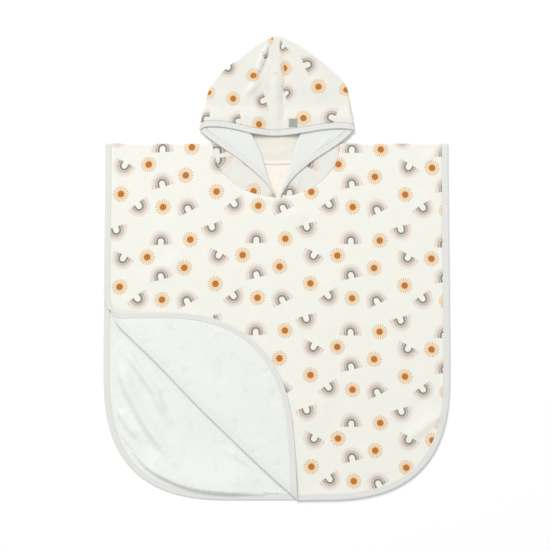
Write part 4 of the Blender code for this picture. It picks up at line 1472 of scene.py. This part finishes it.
def woven_label():
    """A plain grey ribbon."""
    made, tree, shader = new_material("label cloth", roughness=0.75, sheen=0.1)
    cut, base = cut_of(tree), colours().label
    woven = maths(tree, "MULTIPLY", ribs(tree, cut, 700.0, "X", 0.4, 2.0), ribs(tree, cut, 900.0, "Y", 0.4, 2.0))
    cloth = mix(tree, "RGBA", woven, tuple(channel * LABEL_DARK for channel in base), tuple(base))
    apply_finish(tree, shader, cloth, woven, distance=0.00008)
    return made


def thread_material():
    made, tree, shader = new_material("thread", roughness=0.7, sheen=0.1)
    place = add(tree, "TexCoord").outputs["Object"]
    twist = ribs(tree, place, 900.0, "DIAGONAL", 0.5, 2.0)
    apply_finish(tree, shader, uneven(tree, place, colours().thread, scale=400.0, amount=0.06), twist, distance=0.00005)
    return made


def floor_material():
    made, tree, shader = new_material("pale floor", roughness=0.9)
    place = add(tree, "TexCoord").outputs["Object"]
    apply_finish(tree, shader, uneven(tree, place, colours().floor, scale=3.0, amount=0.004))
    return made


FINISHES = {}


def materials():
    """All finishes, made once."""
    if not FINISHES:
        tree = print_group()
        tint = colours()
        FINISHES.update(
            outside=printed_outside(tree, "towelling outside", tint.outside),
            # The hood's outside is a darker copy of the outside: painted shade over the crown
            hood_outside=printed_outside(tree, "hood outside", tint.hood_cloth),
            # The inside, with painted warm shade towards the back of the neck
            inside=soft_inside(
                tree, "towelling inside", tint.inside, tint.inside_warm, show_through=0.05, axis="Y", cool=0.02,
                warm=0.1,
            ),
            # The hood's inside is a darker copy of the inside, painted shade, with painted warm shade low in the hood
            hood_inside=soft_inside(
                tree, "hood inside", tint.hood_lining, tint.hood_deep, show_through=0.03, axis="Z", cool=0.006,
                warm=0.003,
            ),
            binding=ribbed("binding", tint.binding, pitch=0.001, depth=0.0001),
            tape=ribbed("tape", tint.tape, pitch=0.0008, depth=0.00008, roughness=0.7),
            label=woven_label(),
            thread=thread_material(),
            floor=floor_material(),
        )
    return FINISHES


# Add-on


class PonchoSizes(bpy.types.PropertyGroup):
    """Sizes that a user would change."""

    light: bpy.props.FloatProperty(name="Light", description="Strength of the soft light", default=1.0, min=0)
    wall: bpy.props.FloatProperty(
        name="Cloth thickness", description="Thickness of the towelling", default=WALL, min=0.0004, max=0.0016,
        unit="LENGTH",
    )
    label: bpy.props.FloatVectorProperty(
        name="Label", description="Width and height of the blank label", default=LABEL_SIZE, size=2, min=0.005,
        max=0.03, unit="LENGTH",
    )
    stitch: bpy.props.FloatProperty(
        name="Stitch length", description="Length of one stitch", default=STITCH_LONG, min=0.001, max=0.003,
        unit="LENGTH",
    )
    light_angle: bpy.props.FloatProperty(
        name="Light angle", description="How far the key light leans from overhead",
        default=math.radians(38), subtype="ANGLE",
    )


class PonchoColours(bpy.types.PropertyGroup):
    """Colours of the cloth, its print and its trims."""


COLOURS = (
    ("outside", "Outside", "Ground of the printed outside", (240, 239, 230)),
    ("inside", "Inside", "Soft inside of the towelling", (235, 237, 233)),
    # The hood's cloth colours are darker copies of the outside and the inside: painted shade
    ("hood_cloth", "Hood outside", "Ground of the hood's printed outside, darker as painted shade", (231, 230, 222)),
    ("hood_lining", "Hood inside", "Soft inside of the hood's turned edges, darker as painted shade", (229, 231, 227)),
    # Painted warm shade on the inside at the back of the neck
    ("inside_warm", "Inside the neck", "Soft inside of the back at the neck, with painted warm shade", (246, 238, 227)),
    # Painted warm shade deep in the hood
    ("hood_deep", "Deep in the hood", "Soft inside of the hood's back, with painted warm shade", (233, 229, 218)),
    ("binding", "Binding", "Wrapped binding", (228, 229, 225)),
    ("tape", "Tape", "Tape inside the neck", (243, 239, 232)),
    ("label", "Label", "Blank label", (183, 184, 175)),
    ("thread", "Thread", "Stitches", (229, 228, 224)),
    ("floor", "Floor", "Floor of the stage", (255, 255, 255)),
    ("sun_disc", "Sun", "Middle of a sun", (184, 109, 27)),
    ("sun_halo", "Sun halo", "Petals round a sun", (237, 197, 144)),
    ("sun_ray", "Sun rays", "Small strokes round a sun", (212, 172, 122)),
    ("rainbow_dark", "Rainbow inside", "Inner band of a rainbow", (127, 117, 102)),
    ("rainbow_middle", "Rainbow middle", "Second band of a rainbow", (160, 142, 124)),
    ("rainbow_pale", "Rainbow pale", "Third band of a rainbow", (222, 205, 194)),
    ("rainbow_outer", "Rainbow outer", "Outer strokes of a rainbow", (226, 202, 189)),
)
for key, label_text, about, shade in COLOURS:
    PonchoColours.__annotations__[key] = bpy.props.FloatVectorProperty(
        name=label_text, description=about, default=srgb(*shade), subtype="COLOR", size=3, min=0, max=1,
    )


class PONCHO_OT_stage(bpy.types.Operator):
    """Makes the floor, the soft light and the camera"""

    bl_idname = "poncho.stage"
    bl_label = "Stage"

    def execute(self, context):
        scene = context.scene
        bm = bmesh.new()
        bmesh.ops.create_grid(bm, x_segments=4, y_segments=4, size=FLOOR_SIZE)
        bmesh.ops.translate(bm, verts=bm.verts, vec=(0, 0, -FLOOR_DROP))
        mesh = bpy.data.meshes.new("floor")
        bm.to_mesh(mesh)
        bm.free()
        mesh.materials.append(materials()["floor"])
        floor = bpy.data.objects.new("floor", mesh)
        scene.collection.objects.link(floor)

        scene.world = bpy.data.worlds.new("soft light")
        scene.world.use_nodes = True
        sky = scene.world.node_tree.nodes["Background"].inputs
        sky["Color"].default_value = (1, 1, 1, 1)
        sky["Strength"].default_value = SKY_LIGHT * sizes().light
        scene.view_settings.view_transform = "Standard"

        lamp = bpy.data.lights.new("key light", "AREA")
        lamp.shape = "SQUARE"
        lamp.size = LAMP_SIZE
        lamp.energy = LAMP_ENERGY * sizes().light
        key_light = bpy.data.objects.new("key light", lamp)
        lean = sizes().light_angle
        way = LAMP_SIDE * math.sin(lean) + Vector((0, 0, math.cos(lean)))
        key_light.location = way * LAMP_FAR
        key_light.rotation_euler = way.to_track_quat("Z", "Y").to_euler()
        scene.collection.objects.link(key_light)

        lens = bpy.data.cameras.new("camera")
        lens.lens = LENS
        lens.sensor_width = SENSOR
        camera = bpy.data.objects.new("camera", lens)
        camera.location = (*VIEW_CENTRE, VIEW_WIDE * LENS / SENSOR)
        scene.collection.objects.link(camera)
        scene.camera = camera
        return {"FINISHED"}


class PONCHO_OT_body(bpy.types.Operator):
    """Makes the front and the back in towelling"""

    bl_idname = "poncho.body"
    bl_label = "Front and back"

    def execute(self, context):
        finish = materials()
        back = body_sheet(
            "back_panel", BACK_NECK_DROP, shoulder_lines(), place_back, [finish["inside"], finish["outside"]],
            finer=lambda spot: depth_past_fold(spot) > 0,
        )
        front = body_sheet(
            "front_panel", FRONT_NECK_DROP, shoulder_lines() + fold_lines(), place_front,
            [finish["outside"], finish["inside"]],
        )
        return {"FINISHED"}


class PONCHO_OT_body_bindings(bpy.types.Operator):
    """Makes the bindings of the front and the back with their stitches"""

    bl_idname = "poncho.body_bindings"
    bl_label = "Body bindings"

    def execute(self, context):
        finish = materials()
        heights = (WRAP_HALF, -WRAP_HALF)
        body_binding("back_binding", shoulder_lines(), place_back, finish["binding"])
        body_binding("front_binding", shoulder_lines() + fold_lines(), place_front, finish["binding"])
        body_stitches("back_stitches", place_back, heights, finish["thread"])
        body_stitches("front_stitches", place_front, heights, finish["thread"])
        return {"FINISHED"}


class PONCHO_OT_hood(bpy.types.Operator):
    """Makes the hood, its face binding and its stitches"""

    bl_idname = "poncho.hood"
    bl_label = "Hood"

    def execute(self, context):
        finish = materials()
        # The hood takes the darker copies of the cloth, painted shade
        made = hood_sheet([finish["hood_outside"], finish["hood_inside"]])
        hood_binding(finish["binding"])
        face_stitches(finish["thread"])
        return {"FINISHED"}


class PONCHO_OT_trims(bpy.types.Operator):
    """Makes the neck tape and the blank label with their stitches"""

    bl_idname = "poncho.trims"
    bl_label = "Tape and label"

    def execute(self, context):
        finish = materials()
        neck_tape(finish["tape"])
        tape_stitches(finish["thread"])
        label(finish["label"])
        label_stitches(finish["thread"])
        return {"FINISHED"}


class PONCHO_PT_panel(bpy.types.Panel):
    """Lists the poncho's steps, sizes and colours"""

    bl_idname = "PONCHO_PT_panel"
    bl_label = "Poncho"
    bl_space_type = "VIEW_3D"
    bl_region_type = "UI"
    bl_category = "Poncho"

    def draw(self, context):
        for step in STEPS:
            self.layout.operator(step.bl_idname)
        for group in (context.scene.poncho_sizes, context.scene.poncho_colours):
            for key in group.__annotations__:
                self.layout.prop(group, key)


STEPS = (PONCHO_OT_body, PONCHO_OT_body_bindings, PONCHO_OT_hood, PONCHO_OT_trims, PONCHO_OT_stage)
CLASSES = (PonchoSizes, PonchoColours, *STEPS, PONCHO_PT_panel)


def register():
    for cls in CLASSES:
        bpy.utils.register_class(cls)
    bpy.types.Scene.poncho_sizes = bpy.props.PointerProperty(type=PonchoSizes)
    bpy.types.Scene.poncho_colours = bpy.props.PointerProperty(type=PonchoColours)


def unregister():
    del bpy.types.Scene.poncho_colours
    del bpy.types.Scene.poncho_sizes
    for cls in reversed(CLASSES):
        bpy.utils.unregister_class(cls)


def main():
    register()
    for step in STEPS:
        group, name = step.bl_idname.split(".")
        getattr(getattr(bpy.ops, group), name)()


if __name__ == "__main__":
    main()
